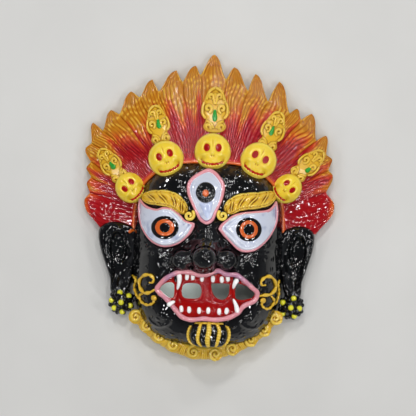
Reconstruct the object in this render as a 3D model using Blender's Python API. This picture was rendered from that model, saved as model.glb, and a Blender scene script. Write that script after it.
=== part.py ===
"""A cast wall mask of a wrathful guardian: one piece, hollow behind, lying on the flat rim of its back.

+Z points out of the face, +Y runs from the chin to the crown of flames and +X is the viewer's right. The origin is
at the middle of the back plane. The face is a full dome with the features raised on it. The crown of flames rises
from the hairline and falls back to its thin tips.
"""

import math

import bmesh
import bpy
from mathutils import Vector

# Driving sizes, in metres
MASK_HEIGHT = 0.250  # from the beard's lowest point to the tip of the middle flame
FACE_DEPTH = 0.046  # from the back plane to the front of the bare face
FLAME_TIP_DEPTH = 0.007  # thickness of the flames at their tips
HAIRLINE_STEP = 0.003  # how far the crown's lower edge stands above the forehead
EAR_DEPTH = 0.011  # from the back plane to the edge of an ear
BEARD_DEPTH = 0.012  # from the back plane to the front of the beard, at its outer edge
WALL = 0.006  # thickness of the casting
CROWN_RIM = 0.030  # width of the solid band that the flames form at the back

# The carving is drawn on a grid of 250 parts to the height of the mask. Lengths below this line are in parts.
PART = MASK_HEIGHT / 250

# The bare face, a dome over a squarish oval
FACE_HALF_WIDTH = 61.5
FACE_HALF_LENGTH = 80.0
FACE_MIDDLE = -34.0
FACE_SQUARENESS = 3.2
FACE_FULLNESS = 0.4
FACE_SEGMENTS = 36
FACE_RINGS = 10
# Its soft forms: place across and along, reach across and along, rise, and whether the left side has a twin
FACE_FORMS = (
    (41, -44, 13, 13, 4.5, True),
    (36, -87, 9, 8, 5.0, True),
    (33, -17, 17, 12, -2.0, True),
    (30, 3, 22, 7, 3.0, True),
    (0, -22, 9, 18, 8.0, False),
    (0, -68, 52, 34, 4.0, False),
    (0, -70, 31, 16, -5.0, False),
)

# The crown's middle, and the hairline that it stands on
CROWN_MIDDLE = (0.0, -20.0)
HAIRLINE_HALF_WIDTH = 61.0
HAIRLINE_RISE = 56.7
HAIRLINE_SQUARENESS = 2.8
HAIRLINE_ROLL = 2.2
HAIRLINE_DROP = 0.7
HAIRLINE_STEPS = 14
# Each flame's turn from upright in degrees, the reach of its tip and the reach of the notch after it
FLAMES = (
    (-77.0, 104.6, 102.7),
    (-63.4, 112.2, 113.2),
    (-57.1, 120.8, 118.7),
    (-48.0, 129.4, 119.9),
    (-40.5, 126.7, 120.3),
    (-30.2, 130.1, 123.3),
    (-21.5, 132.4, 120.0),
    (-12.9, 133.7, 122.3),
    (-6.0, 135.0, 128.2),
    (0.5, 145.0, 126.1),
    (7.5, 135.6, 119.1),
    (14.8, 134.3, 116.1),
    (23.6, 135.1, 116.6),
    (34.5, 123.7, 118.9),
    (39.9, 128.9, 115.3),
    (49.0, 123.6, 114.7),
    (57.6, 116.2, 110.0),
    (63.4, 111.6, 100.7),
    (77.0, 104.6, 88.0),
)
CROWN_SIDE_TURN = 90.0
CROWN_SIDE_REACH = 88.0
FLAME_REACH = 136.0
FLAME_REACH_LOSS = 0.30
FLAME_RIDGE = 1.8
FLANK = 0.4  # how far up to a tip the flank of a flame has climbed half-way to it
FLANK_RIDGE = 0.3  # its share of the ridge, and the notch's
NOTCH_RIDGE = -0.6
CROWN_SWELL = 2.0
CROWN_ROWS = (0.0, 0.45, 0.8, 1.0)

# Five skulls along the hairline: place, half width, half height and turn in degrees
SKULLS = (
    (-63.7, 14.4, 12.3, 13.0, 50),
    (-35.5, 38.2, 14.3, 14.6, 22),
    (1.8, 44.8, 14.6, 14.8, 0),
    (38.8, 38.5, 14.6, 14.8, -26),
    (62.4, 16.8, 11.6, 13.0, -51),
)
SKULL_EDGE = 1.5
SKULL_RISE = 8.5
SKULL_SINK = 9.0
SKULL_SEGMENTS = 12
JAW_TAPER = 0.16
SOCKET = (4.7, 3.0)
SOCKET_HALF_SIZES = (2.8, 3.6, 3.2)
SOCKET_LIFT = 0.8
GRIN = ((-8, -4.2), (-4, -7), (0, -7.8), (4, -7), (8, -4.2))
GRIN_RADIUS = 1.0
GRIN_LIFT = 0.2
SKULL_NOSE = (0.0, -1.6)
SKULL_NOSE_RADIUS = 1.7

# Five leaf ornaments over the skulls: place, length, width and lean in degrees
LEAVES = (
    (-80.5, 32.8, 32, 17, 38),
    (-43.0, 66.1, 33, 19, 13),
    (2.9, 79.2, 38, 22, 0),
    (50.2, 63.5, 34, 19, -20),
    (80.3, 37.0, 33, 17, -47),
)
LEAF_EDGE = 1.6
LEAF_RISE = 3.2
# Half of a leaf's outline, from its foot: share of the half width, share of the length
LEAF_PROFILE = ((0.65, 0.03), (0.93, 0.13), (0.66, 0.28), (1.0, 0.46), (0.88, 0.62), (0.46, 0.82))
LEAF_CURL = (0.58, 0.46)
LEAF_CURL_HALF_SIZES = (3.4, 3.4, 2.6)
LEAF_CURL_LIFT = 1.0
JEWEL_HALF_SIZES = (2.4, 4.6, 2.6)

# The eyes: outlines about the iris. The right one is mirrored for the left, and both turn a little the same way.
EYE_PLACE = (33.6, -16.8)
EYE_OUTLINE = (
    (-23.5, 1.7), (-16, 7.6), (-8.2, 12.4), (0.2, 14.6), (9.8, 15), (17.2, 18), (22.3, 21.8),
    (21.2, 12), (18, 1), (12, -8.6), (3, -15), (-6, -15.8), (-13.5, -11.8), (-19.8, -5.1),
)
EYE_TURN = 3.5
THIRD_EYE_PLACE = (-2.6, 11.6)
THIRD_EYE_OUTLINE = (
    (2.6, 18), (-5.9, 12.9), (-12.4, 7.9), (-14.8, 1.9), (-12.7, -5.1), (-6.9, -12.1), (-4, -18.6), (1.2, -23.8),
    (7.2, -18.6), (8.8, -12.1), (12.6, -5.1), (13.8, 1.9), (11.6, 8.4), (8.1, 12.9),
)
# From the lid's outer edge over the lid to the top of the eye: share of the way out, height
EYE_PROFILE = ((1.04, 1.5), (1.0, 3.8), (0.88, 3.8), (0.84, 2.4), (0.6, 6.2), (0.3, 8.2), (0.0, 8.8))

# The brows: points along the middle of the right one, from its tail to its curl, with its half width there
BROW_LINE = (
    (53.6, 12, 3.6), (49, 9.8, 5.4), (42, 7, 6.2), (34, 5.8, 6.2),
    (26, 4.2, 5.8), (19.4, 0.2, 5.2), (14.4, -5, 4.6), (9.6, -9.6, 3.6),
)
BROW_LOBES = 7
BROW_LIFT = 1.5
BROW_WAIST = 0.72
BROW_BELLY = 0.9
BROW_CURL = 4.6

# The nose: places, half sizes and lifts of its tip and its wings
NOSE_BALLS = (
    ((-2.6, -40.3), (10.5, 9.0, 14.0), 7.0),
    ((-19.4, -42.3), (8.5, 7.5, 9.0), 3.0),
    ((14.5, -41.4), (8.5, 7.5, 9.0), 3.0),
)

# The mouth: the middle of the lips, and the teeth from root to tip
LIP_OUTLINE = (
    (-40.3, -65), (-33.1, -57.5), (-24, -52.5), (-14.9, -51.8), (-6.5, -53.7), (0.1, -53.1), (8.3, -50),
    (15.1, -52.7), (23.4, -53.2), (30.2, -58), (35.3, -62.4), (40.2, -67.3), (38, -73.4), (30, -77.5),
    (24.9, -83.4), (17.7, -87.5), (7.8, -89.3), (-2.2, -88.7), (-12.1, -89.8), (-19.5, -87.5), (-25, -81.5),
    (-31.6, -73.9), (-37.5, -69),
)
LIP_RADIUS = 2.7
LIP_LIFT = 3.0
UPPER_INCISORS = ((-15.9, -52.7), (-11.3, -52.6), (-4, -53.7), (4.6, -54), (11.6, -54.3), (16.4, -53.1))
LOWER_INCISORS = ((-19.8, -84.2), (-13.6, -84.7), (-5.7, -85.1), (1.6, -84.9), (10.2, -85.4), (16.1, -84.9))
INCISOR_LENGTH = 5.8
INCISOR_RADIUS = 2.2
INCISOR_LIFT = 1.2
FANGS = (
    ((-22.2, -53.1), (-23.5, -66)),
    ((24.3, -56.1), (20.9, -64.2)),
    ((-30.8, -78.7), (-24.9, -75.2)),
    ((25, -83.1), (21.1, -72)),
)
FANG_RADIUS = 2.3
FANG_LIFT = 2.2
TOOTH_TAPER = 0.45
MOUTH_OPENINGS = (
    ((-37.3, -66), (-33.5, -61.5), (-28.5, -60.3), (-26.1, -62.5), (-26.1, -71), (-28.5, -72.9), (-34, -70.5)),
    ((-19.8, -62.5), (-18, -60.6), (-6, -60.6), (-4.3, -62.5), (-4.3, -71), (-6.3, -73), (-17.8, -73), (-19.8, -71)),
    ((3.4, -61.5), (5, -60.3), (16.5, -60.3), (17.9, -62), (17.4, -69), (14, -73.1), (9, -72.6), (5, -68.5)),
    ((22.9, -61.5), (24.5, -59.8), (32, -62), (37, -65.5), (38.1, -68.5), (35.5, -71.5), (27, -73.2), (22.9, -71)),
)

# The gilt scrolls at the corners of the mouth: points and half width at each
SCROLLS = (
    ((-42.1, -66.1, 1.7), (-46, -69.3, 2.3), (-50.6, -69.6, 2.3), (-54, -65.1, 2.1), (-54.2, -59.8, 1.9),
     (-50.3, -55.7, 1.8), (-45.7, -55.2, 1.6), (-43, -58.4, 1.3)),
    ((-53.2, -71.6, 1.7), (-52.2, -76.6, 1.7), (-47.4, -79, 1.7), (-42.8, -76.8, 1.4)),
    ((45.5, -69.1, 1.7), (51.4, -68.3, 2.3), (55.4, -63.5, 2.2), (54.3, -57.6, 1.9), (50.2, -54.0, 1.7),
     (45.9, -54.9, 1.5), (43.2, -58.1, 1.2)),
    ((53.4, -70.6, 1.6), (54.2, -74.3, 1.6), (51.7, -78.2, 1.6), (47.9, -79.1, 1.5), (44.4, -76.1, 1.3)),
)
SCROLL_LIFT = 0.8

# The fluted ball of the chin, and the band of curls that is the beard
CHIN = (2.4, -101.6)
CHIN_HALF_SIZES = (18.0, 10.4, 12.0)
CHIN_LIFT = 1.5
CHIN_FLUTES = 10
CHIN_FLUTE_DEPTH = 0.07
BEARD_MIDDLE = (-1.0, -70.0)
BEARD_HALF_WIDTH = 56.6
BEARD_DROP = 49.6
BEARD_SQUARENESS = 2.2
BEARD_HALF_BAND = 5.4
BEARD_INNER_EDGE = 9.0
BEARD_LIP = 3.0  # how far the front of the beard rolls over at its outer edge
BEARD_ROLL = 3.4
BEARD_SHOULDER = 3.5
BEARD_SLOPE = 0.55
BEARD_ENDS = (-69, 70)
BEARD_STEPS = 16
CURLS = 10
CURL_RADIUS = 5.9
CURL_EDGE = 0.5
CURL_RISE = 3.0
CURL_GAP = 0.30  # between two curls, as a share of a curl's place
CURL_SEGMENTS = 8

# The ears, of which the right one is mirrored, and the clusters of beads that hang from them
EAR_OUTLINE = (
    (60, -19), (66, -14.6), (74, -13), (81.5, -14.6), (86.4, -20), (86.2, -31), (81.8, -46.5), (77.5, -60),
    (76.5, -71), (69, -74), (62.5, -67), (59.5, -50), (56, -34),
)
# From an ear's edge over its rim to its bowl: share of the way out, height over the edge
EAR_PROFILE = ((1.0, 0.0), (0.9, 4.0), (0.68, 4.0), (0.5, -1.0), (0.0, 0.5))
BEAD_CLUSTERS = (
    ((-69.4, -78.5), ((-70.5, -71.2), (-63.3, -73.7), (-77.2, -77.5), (-69.3, -78.9), (-62, -81.5),
                      (-74.9, -83.7), (-68.4, -86.7))),
    ((69.0, -79.0), ((62.1, -75.8), (70.8, -72.2), (68.6, -79.7), (75.7, -80.2), (62.3, -84.9), (71.8, -86.6))),
)
CLUSTER_RADIUS = 9.5
CLUSTER_HEIGHT = 7.6
BEAD_RADIUS = 2.6
BEAD_SPREAD = 0.92  # the outermost bead's place, as a share of the cluster's radius

# The hollow behind the face and the crown
HOLLOW_SEGMENTS = 20
HOLLOW_RINGS = 6
HOLLOW_STEPS = 14
HOLLOW_SIDE_TURN = 78.0
HOLLOW_OVERLAP = 0.15

FOOT = 4.0  # how far every form runs below the back plane before the back is cut flat
SINK = 3.0  # how deep a raised form is let into what it stands on
FLAT_DEGREES = 3.0  # neighbouring faces that turn by less than this are merged
SHARP_DEGREES = 40.0  # edges that turn by more than this are shaded sharp
WELD = 0.00001  # metres


def parts(*points):
    """Points of the carver's grid, as points of the mask in metres."""
    return [Vector(point) * PART for point in points]


def clear_scene():
    for thing in list(bpy.data.objects):
        bpy.data.objects.remove(thing, do_unlink=True)


def add_collection(name):
    group = bpy.data.collections.new(name)
    bpy.context.scene.collection.children.link(group)
    return group


def add_mesh(name, shape, group):
    """Adds a closed shape as an object, in triangles whose faces point outwards."""
    bmesh.ops.triangulate(shape, faces=shape.faces)
    bmesh.ops.recalc_face_normals(shape, faces=shape.faces)
    if shape.calc_volume(signed=True) < 0:
        bmesh.ops.reverse_faces(shape, faces=shape.faces)
    mesh = bpy.data.meshes.new(name)
    shape.to_mesh(mesh)
    shape.free()
    item = bpy.data.objects.new(name, mesh)
    group.objects.link(item)
    return item


def as_mesh(item, group, weld=False):
    """Replaces an object by the mesh that its modifiers or its bevel make, with a bar's caps welded on."""
    name = item.name
    graph = bpy.context.evaluated_depsgraph_get()
    mesh = bpy.data.meshes.new_from_object(item.evaluated_get(graph))
    shape = bmesh.new()
    shape.from_mesh(mesh)
    if weld:
        bmesh.ops.remove_doubles(shape, verts=shape.verts, dist=WELD)
    bpy.data.objects.remove(item, do_unlink=True)
    bpy.data.meshes.remove(mesh)
    return add_mesh(name, shape, group)


def face_share(x, y, inset=0.0):
    """Nought at the middle of the face and one at its outline, less an inset."""
    across = abs(x) / (FACE_HALF_WIDTH * PART - inset)
    along = abs(y - FACE_MIDDLE * PART) / (FACE_HALF_LENGTH * PART - inset)
    return across ** FACE_SQUARENESS + along ** FACE_SQUARENESS


def face_ground(x, y):
    """Height of the bare face over the back plane, soft forms included."""
    left = 1.0 - face_share(x, y)
    if left <= 0:
        return 0.0
    height = FACE_DEPTH * left ** FACE_FULLNESS
    fade = min(1.0, 4.0 * left) * PART
    for across, along, wide, tall, rise, twin in FACE_FORMS:
        for side in (1, -1) if twin else (1,):
            u = (x / PART - side * across) / wide
            v = (y / PART - along) / tall
            height += fade * rise * math.exp(-u * u - v * v)
    return height


def hairline_reach(turn):
    """From the crown's middle to the hairline."""
    across = abs(math.sin(turn)) / HAIRLINE_HALF_WIDTH
    along = abs(math.cos(turn)) / HAIRLINE_RISE
    share = across ** HAIRLINE_SQUARENESS + along ** HAIRLINE_SQUARENESS
    return share ** (-1 / HAIRLINE_SQUARENESS) * PART


def flame_reach(turn):
    """From the crown's middle to a smooth line through the tips of the flames."""
    return FLAME_REACH * (1 - FLAME_REACH_LOSS * (turn / (math.pi / 2)) ** 2) * PART


def crown_point(turn, reach):
    return Vector(CROWN_MIDDLE) * PART + Vector((math.sin(turn), math.cos(turn))) * reach


def crown_height(turn, share):
    """Height of the crown, from share 0 at the hairline to 1 at the tips of the flames."""
    root = face_ground(*crown_point(turn, hairline_reach(turn))) + HAIRLINE_STEP
    return root + (FLAME_TIP_DEPTH - root) * share + CROWN_SWELL * PART * math.sin(math.pi * share)


def crown_ground(x, y):
    """Height of the crown at a place on it."""
    offset = Vector((x, y)) - Vector(CROWN_MIDDLE) * PART
    turn = math.atan2(offset.x, offset.y)
    root = hairline_reach(turn)
    share = (offset.length - root) / (flame_reach(turn) - root)
    return crown_height(turn, min(max(share, 0.0), 1.0))


def beard_ground(inset):
    """Height of the beard, which rises from its outer edge inwards."""
    return BEARD_DEPTH + (BEARD_HALF_BAND + inset) * BEARD_SLOPE * PART


def domed(edge, rise, rings):
    """The profile of a dome, from its rim to its top: shares of the way out and heights."""
    turns = [math.pi / 2 * k / rings for k in range(rings + 1)]
    return [(math.cos(turn), edge + rise * math.sin(turn)) for turn in turns]


def swell(name, outline, group, ground, profile, sink=SINK, middle=None):
    """A cushion over an outline, with its profile's heights over the ground from the rim to the middle."""
    count = len(outline)
    if middle is None:
        middle = sum(outline, Vector((0, 0))) / count
    shape = bmesh.new()
    rings = [[shape.verts.new((*p, ground(*p) - sink * PART)) for p in outline]]
    for share, height in profile[:-1]:
        places = [middle.lerp(p, share) for p in outline]
        rings.append([shape.verts.new((*p, ground(*p) + height * PART)) for p in places])
    top = shape.verts.new((*middle, ground(*middle) + profile[-1][1] * PART))
    shape.faces.new(rings[0])
    for k in range(count):
        following = (k + 1) % count
        for low, high in zip(rings, rings[1:]):
            shape.faces.new((low[k], low[following], high[following], high[k]))
        shape.faces.new((rings[-1][k], rings[-1][following], top))
    return add_mesh(name, shape, group)


def roll(name, points, radii, group, closed=False, roundness=1):
    """A bar along points, as thick at each point as its radius says."""
    curve = bpy.data.curves.new(name, "CURVE")
    curve.dimensions = "3D"
    curve.twist_mode = "Z_UP"
    curve.bevel_depth = PART
    curve.bevel_resolution = roundness
    curve.use_fill_caps = True
    spline = curve.splines.new("POLY")
    spline.points.add(len(points) - 1)
    spline.use_cyclic_u = closed
    for control, point, radius in zip(spline.points, points, radii):
        control.co = (*point, 1)
        control.radius = radius
    bar = bpy.data.objects.new(name, curve)
    group.objects.link(bar)
    return as_mesh(bar, group, weld=True)


def ball(name, centre, half_sizes, group, segments=8, rings=6, turn=0.0):
    """A sphere drawn out to its half sizes and turned about its upright axis."""
    shape = bmesh.new()
    bmesh.ops.create_uvsphere(shape, u_segments=segments, v_segments=rings, radius=PART)
    bmesh.ops.scale(shape, vec=half_sizes, verts=shape.verts)
    for v in shape.verts:
        flat = turned([v.co.xy], turn)[0]
        v.co = Vector((*flat, v.co.z)) + Vector(centre)
    return add_mesh(name, shape, group)


def prism(name, outline, half_height, group):
    """An upright block over an outline, as far below the back plane as above it."""
    curve = bpy.data.curves.new(name, "CURVE")
    curve.dimensions = "2D"
    curve.fill_mode = "BOTH"
    curve.extrude = half_height
    spline = curve.splines.new("POLY")
    spline.points.add(len(outline) - 1)
    spline.use_cyclic_u = True
    for control, point in zip(spline.points, outline):
        control.co = (point.x, point.y, 0, 1)
    block = bpy.data.objects.new(name, curve)
    group.objects.link(block)
    return as_mesh(block, group, weld=True)


def loft(name, sections, group):
    """A closed body through sections of equal count, capped at both ends."""
    shape = bmesh.new()
    rings = [[shape.verts.new(point) for point in section] for section in sections]
    count = len(rings[0])
    for one, two in zip(rings, rings[1:]):
        for k in range(count):
            following = (k + 1) % count
            shape.faces.new((one[k], one[following], two[following], two[k]))
    shape.faces.new(rings[0])
    shape.faces.new(reversed(rings[-1]))
    return add_mesh(name, shape, group)


def face_dome(name, inset, ground, segments, rings, group):
    """Half a sphere drawn out to the outline of the face, less an inset, with the heights of a ground."""
    shape = bmesh.new()
    bmesh.ops.create_uvsphere(shape, u_segments=segments, v_segments=2 * rings, radius=1)
    below = [v for v in shape.verts if v.co.z < -0.5 / rings]
    bmesh.ops.delete(shape, geom=below, context="VERTS")
    rim = [e for e in shape.edges if e.is_boundary]
    grown = bmesh.ops.extrude_edge_only(shape, edges=rim)["geom"]
    skirt = {v for v in grown if isinstance(v, bmesh.types.BMVert)}
    bmesh.ops.holes_fill(shape, edges=[e for e in shape.edges if e.is_boundary])
    for v in shape.verts:
        turn = math.atan2(v.co.y, v.co.x)
        corner = abs(math.cos(turn)) ** FACE_SQUARENESS + abs(math.sin(turn)) ** FACE_SQUARENESS
        reach = min(1.0, v.co.xy.length) * corner ** (-1 / FACE_SQUARENESS)
        x = (FACE_HALF_WIDTH * PART - inset) * reach * math.cos(turn)
        y = (FACE_HALF_LENGTH * PART - inset) * reach * math.sin(turn) + FACE_MIDDLE * PART
        v.co = (x, y, -FOOT * PART if v in skirt else ground(x, y))
    return add_mesh(name, shape, group)


def turned(outline, degrees, place=Vector((0, 0))):
    """Points turned about the grid's middle and then set about a place."""
    turn = math.radians(degrees)
    cosine = math.cos(turn)
    sine = math.sin(turn)
    return [Vector((p.x * cosine - p.y * sine, p.x * sine + p.y * cosine)) + place for p in outline]


def mirrored(outline):
    return [Vector((-p.x, p.y)) for p in outline]


def lifted(outline, ground, lift):
    """Points raised over the ground by a lift in parts."""
    return [(p.x, p.y, ground(*p) + lift * PART) for p in outline]


def flame_columns():
    """Turn, reach and ridge of each column of the crown, from its left side to its right."""
    side = math.radians(CROWN_SIDE_TURN)
    columns = [(-side, CROWN_SIDE_REACH, 0.0)]
    for k, (degrees, tip, notch) in enumerate(FLAMES):
        turn = math.radians(degrees)
        before, before_reach, _ = columns[-1]
        after = (turn + math.radians(FLAMES[k + 1][0])) / 2 if k + 1 < len(FLAMES) else side
        for foot_turn, foot_reach in ((before, before_reach), (after, notch)):
            columns.append(((foot_turn + turn) / 2, foot_reach + FLANK * (tip - foot_reach), FLANK_RIDGE))
        columns.insert(-1, (turn, tip, 1.0))
        columns.append((after, notch, NOTCH_RIDGE))
    return columns


def make_crown(group):
    """The crown, a loft of columns from the hairline out to the tips and notches of the flames."""
    sections = []
    for turn, reach, ridge in flame_columns():
        root = hairline_reach(turn)
        section = []
        for share in CROWN_ROWS:
            place = crown_point(turn, root + (reach * PART - root) * share)
            raised = ridge * FLAME_RIDGE * PART * math.sin(math.pi * share ** 2)
            section.append((*place, crown_height(turn, share) + raised))
        for end in (reach * PART, root):
            section.append((*crown_point(turn, end), -FOOT * PART))
        sections.append(section)
    return loft("crown", sections, group)


def make_hairline(group):
    """The raised roll along the lower edge of the crown."""
    points = []
    for k in range(HAIRLINE_STEPS + 1):
        turn = math.radians(CROWN_SIDE_TURN) * (2 * k / HAIRLINE_STEPS - 1)
        place = crown_point(turn, hairline_reach(turn))
        points.append((*place, crown_height(turn, 0) - HAIRLINE_DROP * PART))
    roll("hairline", points, [HAIRLINE_ROLL] * len(points), group, roundness=0)


def make_skull(number, skull, group, cutters):
    """A skull over the hairline, with cutters for its eye sockets and its grin."""
    x, y, half_width, half_height, turn = skull
    place = Vector((x, y)) * PART
    height = crown_ground(*place)
    radius = 0.5 * (half_width + half_height) * PART

    def surface(point):
        share = min(1.0, (point - place).length / radius)
        return height + (SKULL_EDGE + SKULL_RISE * math.sqrt(1 - share * share)) * PART

    egg = []
    for step in range(SKULL_SEGMENTS):
        angle = 2 * math.pi * (step + 0.5) / SKULL_SEGMENTS
        jaw = 1 - JAW_TAPER * max(0.0, -math.sin(angle)) ** 2
        egg += parts((half_width * jaw * math.cos(angle), half_height * math.sin(angle)))
    swell(f"skull_{number}", turned(egg, turn, place), group, lambda u, v: height,
          domed(SKULL_EDGE, SKULL_RISE, 3), SKULL_SINK)
    for side in (-1, 1):
        socket = turned(parts((side * SOCKET[0], SOCKET[1])), turn, place)[0]
        centre = (*socket, surface(socket) + SOCKET_LIFT * PART)
        ball(f"socket_{number}_{side}", centre, SOCKET_HALF_SIZES, cutters, 6, 4, turn)
    grin = turned(parts(*GRIN), turn, place)
    line = [(*p, surface(p) + GRIN_LIFT * PART) for p in grin]
    roll(f"grin_{number}", line, [GRIN_RADIUS] * len(line), cutters, roundness=0)
    nose = turned(parts(SKULL_NOSE), turn, place)[0]
    ball(f"skull_nose_{number}", (*nose, surface(nose)), (SKULL_NOSE_RADIUS,) * 3, group, 5, 3)


def make_leaf(number, leaf, group):
    """A leaf ornament with a pair of curls and a jewel."""
    x, y, length, width, lean = leaf
    place = Vector((x, y)) * PART

    def spot(across, along):
        return parts((across * width / 2, length * (along - 0.5)))[0]

    half = [spot(*point) for point in LEAF_PROFILE]
    outline = turned(half + [spot(0, 1)] + mirrored(reversed(half)), lean, place)
    swell(f"leaf_{number}", outline, group, crown_ground, domed(LEAF_EDGE, LEAF_RISE, 2))
    for side in (-1, 1):
        curl = turned([spot(side * LEAF_CURL[0], LEAF_CURL[1])], lean, place)[0]
        centre = (*curl, crown_ground(*curl) + (LEAF_EDGE + LEAF_CURL_LIFT) * PART)
        ball(f"leaf_curl_{number}_{side}", centre, LEAF_CURL_HALF_SIZES, group, 6, 3)
    centre = (*place, crown_ground(*place) + (LEAF_EDGE + LEAF_RISE) * PART)
    ball(f"jewel_{number}", centre, JEWEL_HALF_SIZES, group, 6, 3, lean)


def make_eyes(group):
    eyes = [(parts(*THIRD_EYE_OUTLINE), 0.0, Vector(THIRD_EYE_PLACE) * PART)]
    for side in (-1, 1):
        outline = parts(*EYE_OUTLINE)
        if side < 0:
            outline = mirrored(outline)
        eyes.append((outline, EYE_TURN, Vector((side * EYE_PLACE[0], EYE_PLACE[1])) * PART))
    for k, (outline, degrees, iris) in enumerate(eyes):
        outline = turned(outline, degrees, iris)
        swell(f"eye_{k}", outline, group, face_ground, EYE_PROFILE, middle=iris)


def make_brows(group):
    """Two rope-like brows, which swell and narrow with each twist and end in a curl by the nose."""
    for side in (-1, 1):
        count = 2 * BROW_LOBES
        points = []
        radii = []
        for k in range(count + 1):
            share = k / count * (len(BROW_LINE) - 1)
            first = min(int(share), len(BROW_LINE) - 2)
            across, along, half = Vector(BROW_LINE[first]).lerp(Vector(BROW_LINE[first + 1]), share - first)
            points += lifted(parts((side * across, along)), face_ground, BROW_LIFT)
            radii.append(half * (BROW_WAIST if k % 2 == 0 else BROW_BELLY))
        roll(f"brow_{side}", points, radii, group)
        ball(f"brow_curl_{side}", points[-1], (BROW_CURL, BROW_CURL, BROW_CURL), group, 8, 5)


def make_nose(group):
    for k, (place, half_sizes, lift) in enumerate(NOSE_BALLS):
        centre = lifted(parts(place), face_ground, lift)[0]
        ball(f"nose_{k}", centre, half_sizes, group, 10, 6)


def make_tooth(name, root, tip, radius, lift, group, roundness):
    """A blunt cone from root to tip, lying on the gum."""
    ends = lifted(parts(root, tip), face_ground, lift)
    roll(name, ends, [radius, TOOTH_TAPER * radius], group, roundness=roundness)


def make_mouth(group, cutters):
    """The lips, the teeth, and cutters for the openings between the teeth."""
    rim = lifted(parts(*LIP_OUTLINE), face_ground, LIP_LIFT)
    roll("lips", rim, [LIP_RADIUS] * len(rim), group, closed=True)
    for row, (roots, down) in enumerate(((UPPER_INCISORS, -1), (LOWER_INCISORS, 1))):
        for k, (x, y) in enumerate(roots):
            tip = (x, y + down * INCISOR_LENGTH)
            make_tooth(f"incisor_{row}_{k}", (x, y), tip, INCISOR_RADIUS, INCISOR_LIFT, group, 0)
    for k, (root, tip) in enumerate(FANGS):
        make_tooth(f"fang_{k}", root, tip, FANG_RADIUS, FANG_LIFT, group, 1)
    for k, outline in enumerate(MOUTH_OPENINGS):
        prism(f"mouth_opening_{k}", parts(*outline), 2 * FACE_DEPTH, cutters)


def make_scrolls(group):
    for k, scroll in enumerate(SCROLLS):
        line = lifted(parts(*((x, y) for x, y, _ in scroll)), face_ground, SCROLL_LIFT)
        roll(f"scroll_{k}", line, [radius for _, _, radius in scroll], group)


def make_chin(group):
    """The ball of the chin, with flutes that run from its top to its foot."""
    centre = Vector(lifted(parts(CHIN), face_ground, CHIN_LIFT)[0])
    half_sizes = Vector(CHIN_HALF_SIZES) * PART
    shape = bmesh.new()
    bmesh.ops.create_uvsphere(shape, u_segments=2 * CHIN_FLUTES, v_segments=6, radius=1)
    for v in shape.verts:
        flute = 1 + CHIN_FLUTE_DEPTH * math.cos(CHIN_FLUTES * math.atan2(v.co.y, v.co.x))
        v.co = Vector((v.co.x * flute, v.co.z, v.co.y * flute)) * half_sizes + centre
    add_mesh("chin", shape, group)


def beard_point(turn, inset):
    """A point of the beard's line, turned from straight down and moved inwards by an inset in parts."""
    across = abs(math.sin(turn)) / (BEARD_HALF_WIDTH - inset)
    along = abs(math.cos(turn)) / (BEARD_DROP - inset)
    reach = (across ** BEARD_SQUARENESS + along ** BEARD_SQUARENESS) ** (-1 / BEARD_SQUARENESS)
    return (Vector(BEARD_MIDDLE) + Vector((math.sin(turn), -math.cos(turn))) * reach) * PART


def make_beard(group):
    """The band under the jaw, with its row of curls."""
    low, high = (math.radians(end) for end in BEARD_ENDS)
    edge = -BEARD_HALF_BAND
    brow = edge + BEARD_ROLL
    shoulder = beard_ground(BEARD_SHOULDER)
    profile = (
        (edge, -FOOT * PART), (edge, beard_ground(edge) - BEARD_LIP * PART), (brow, beard_ground(brow)),
        (BEARD_SHOULDER, shoulder), (BEARD_INNER_EDGE, shoulder), (BEARD_INNER_EDGE, -FOOT * PART),
    )
    sections = []
    for k in range(BEARD_STEPS + 1):
        turn = low + (high - low) * k / BEARD_STEPS
        sections.append([(*beard_point(turn, inset), height) for inset, height in profile])
    loft("beard", sections, group)
    for k in range(CURLS):
        turn = low + (high - low) * (k + (1 - CURL_GAP) / 2) / (CURLS - CURL_GAP)
        place = beard_point(turn, CURL_RADIUS - BEARD_HALF_BAND)
        steps = [2 * math.pi * j / CURL_SEGMENTS for j in range(CURL_SEGMENTS)]
        circle = [place + Vector((math.cos(a), math.sin(a))) * CURL_RADIUS * PART for a in steps]
        swell(f"curl_{k}", circle, group, lambda u, v: beard_ground(0), domed(CURL_EDGE, CURL_RISE, 2))


def make_ears(group):
    for side in (-1, 1):
        outline = parts(*EAR_OUTLINE)
        if side < 0:
            outline = mirrored(outline)
        profile = [(share, EAR_DEPTH / PART + height) for share, height in EAR_PROFILE]
        swell(f"ear_{side}", outline, group, lambda u, v: 0.0, profile, FOOT)


def make_beads(group):
    """The clusters at the ears' lobes: a round core with beads let into it."""
    for k, (middle, beads) in enumerate(BEAD_CLUSTERS):
        ball(f"cluster_{k}", (*parts(middle)[0], CLUSTER_HEIGHT * PART), (CLUSTER_RADIUS,) * 3, group, 10, 6)
        for j, bead in enumerate(beads):
            off = min((Vector(bead) - Vector(middle)).length, BEAD_SPREAD * CLUSTER_RADIUS)
            up = CLUSTER_HEIGHT + math.sqrt(CLUSTER_RADIUS ** 2 - off ** 2)
            ball(f"bead_{k}_{j}", (*parts(bead)[0], up * PART), (BEAD_RADIUS,) * 3, group, 6, 3)


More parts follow.
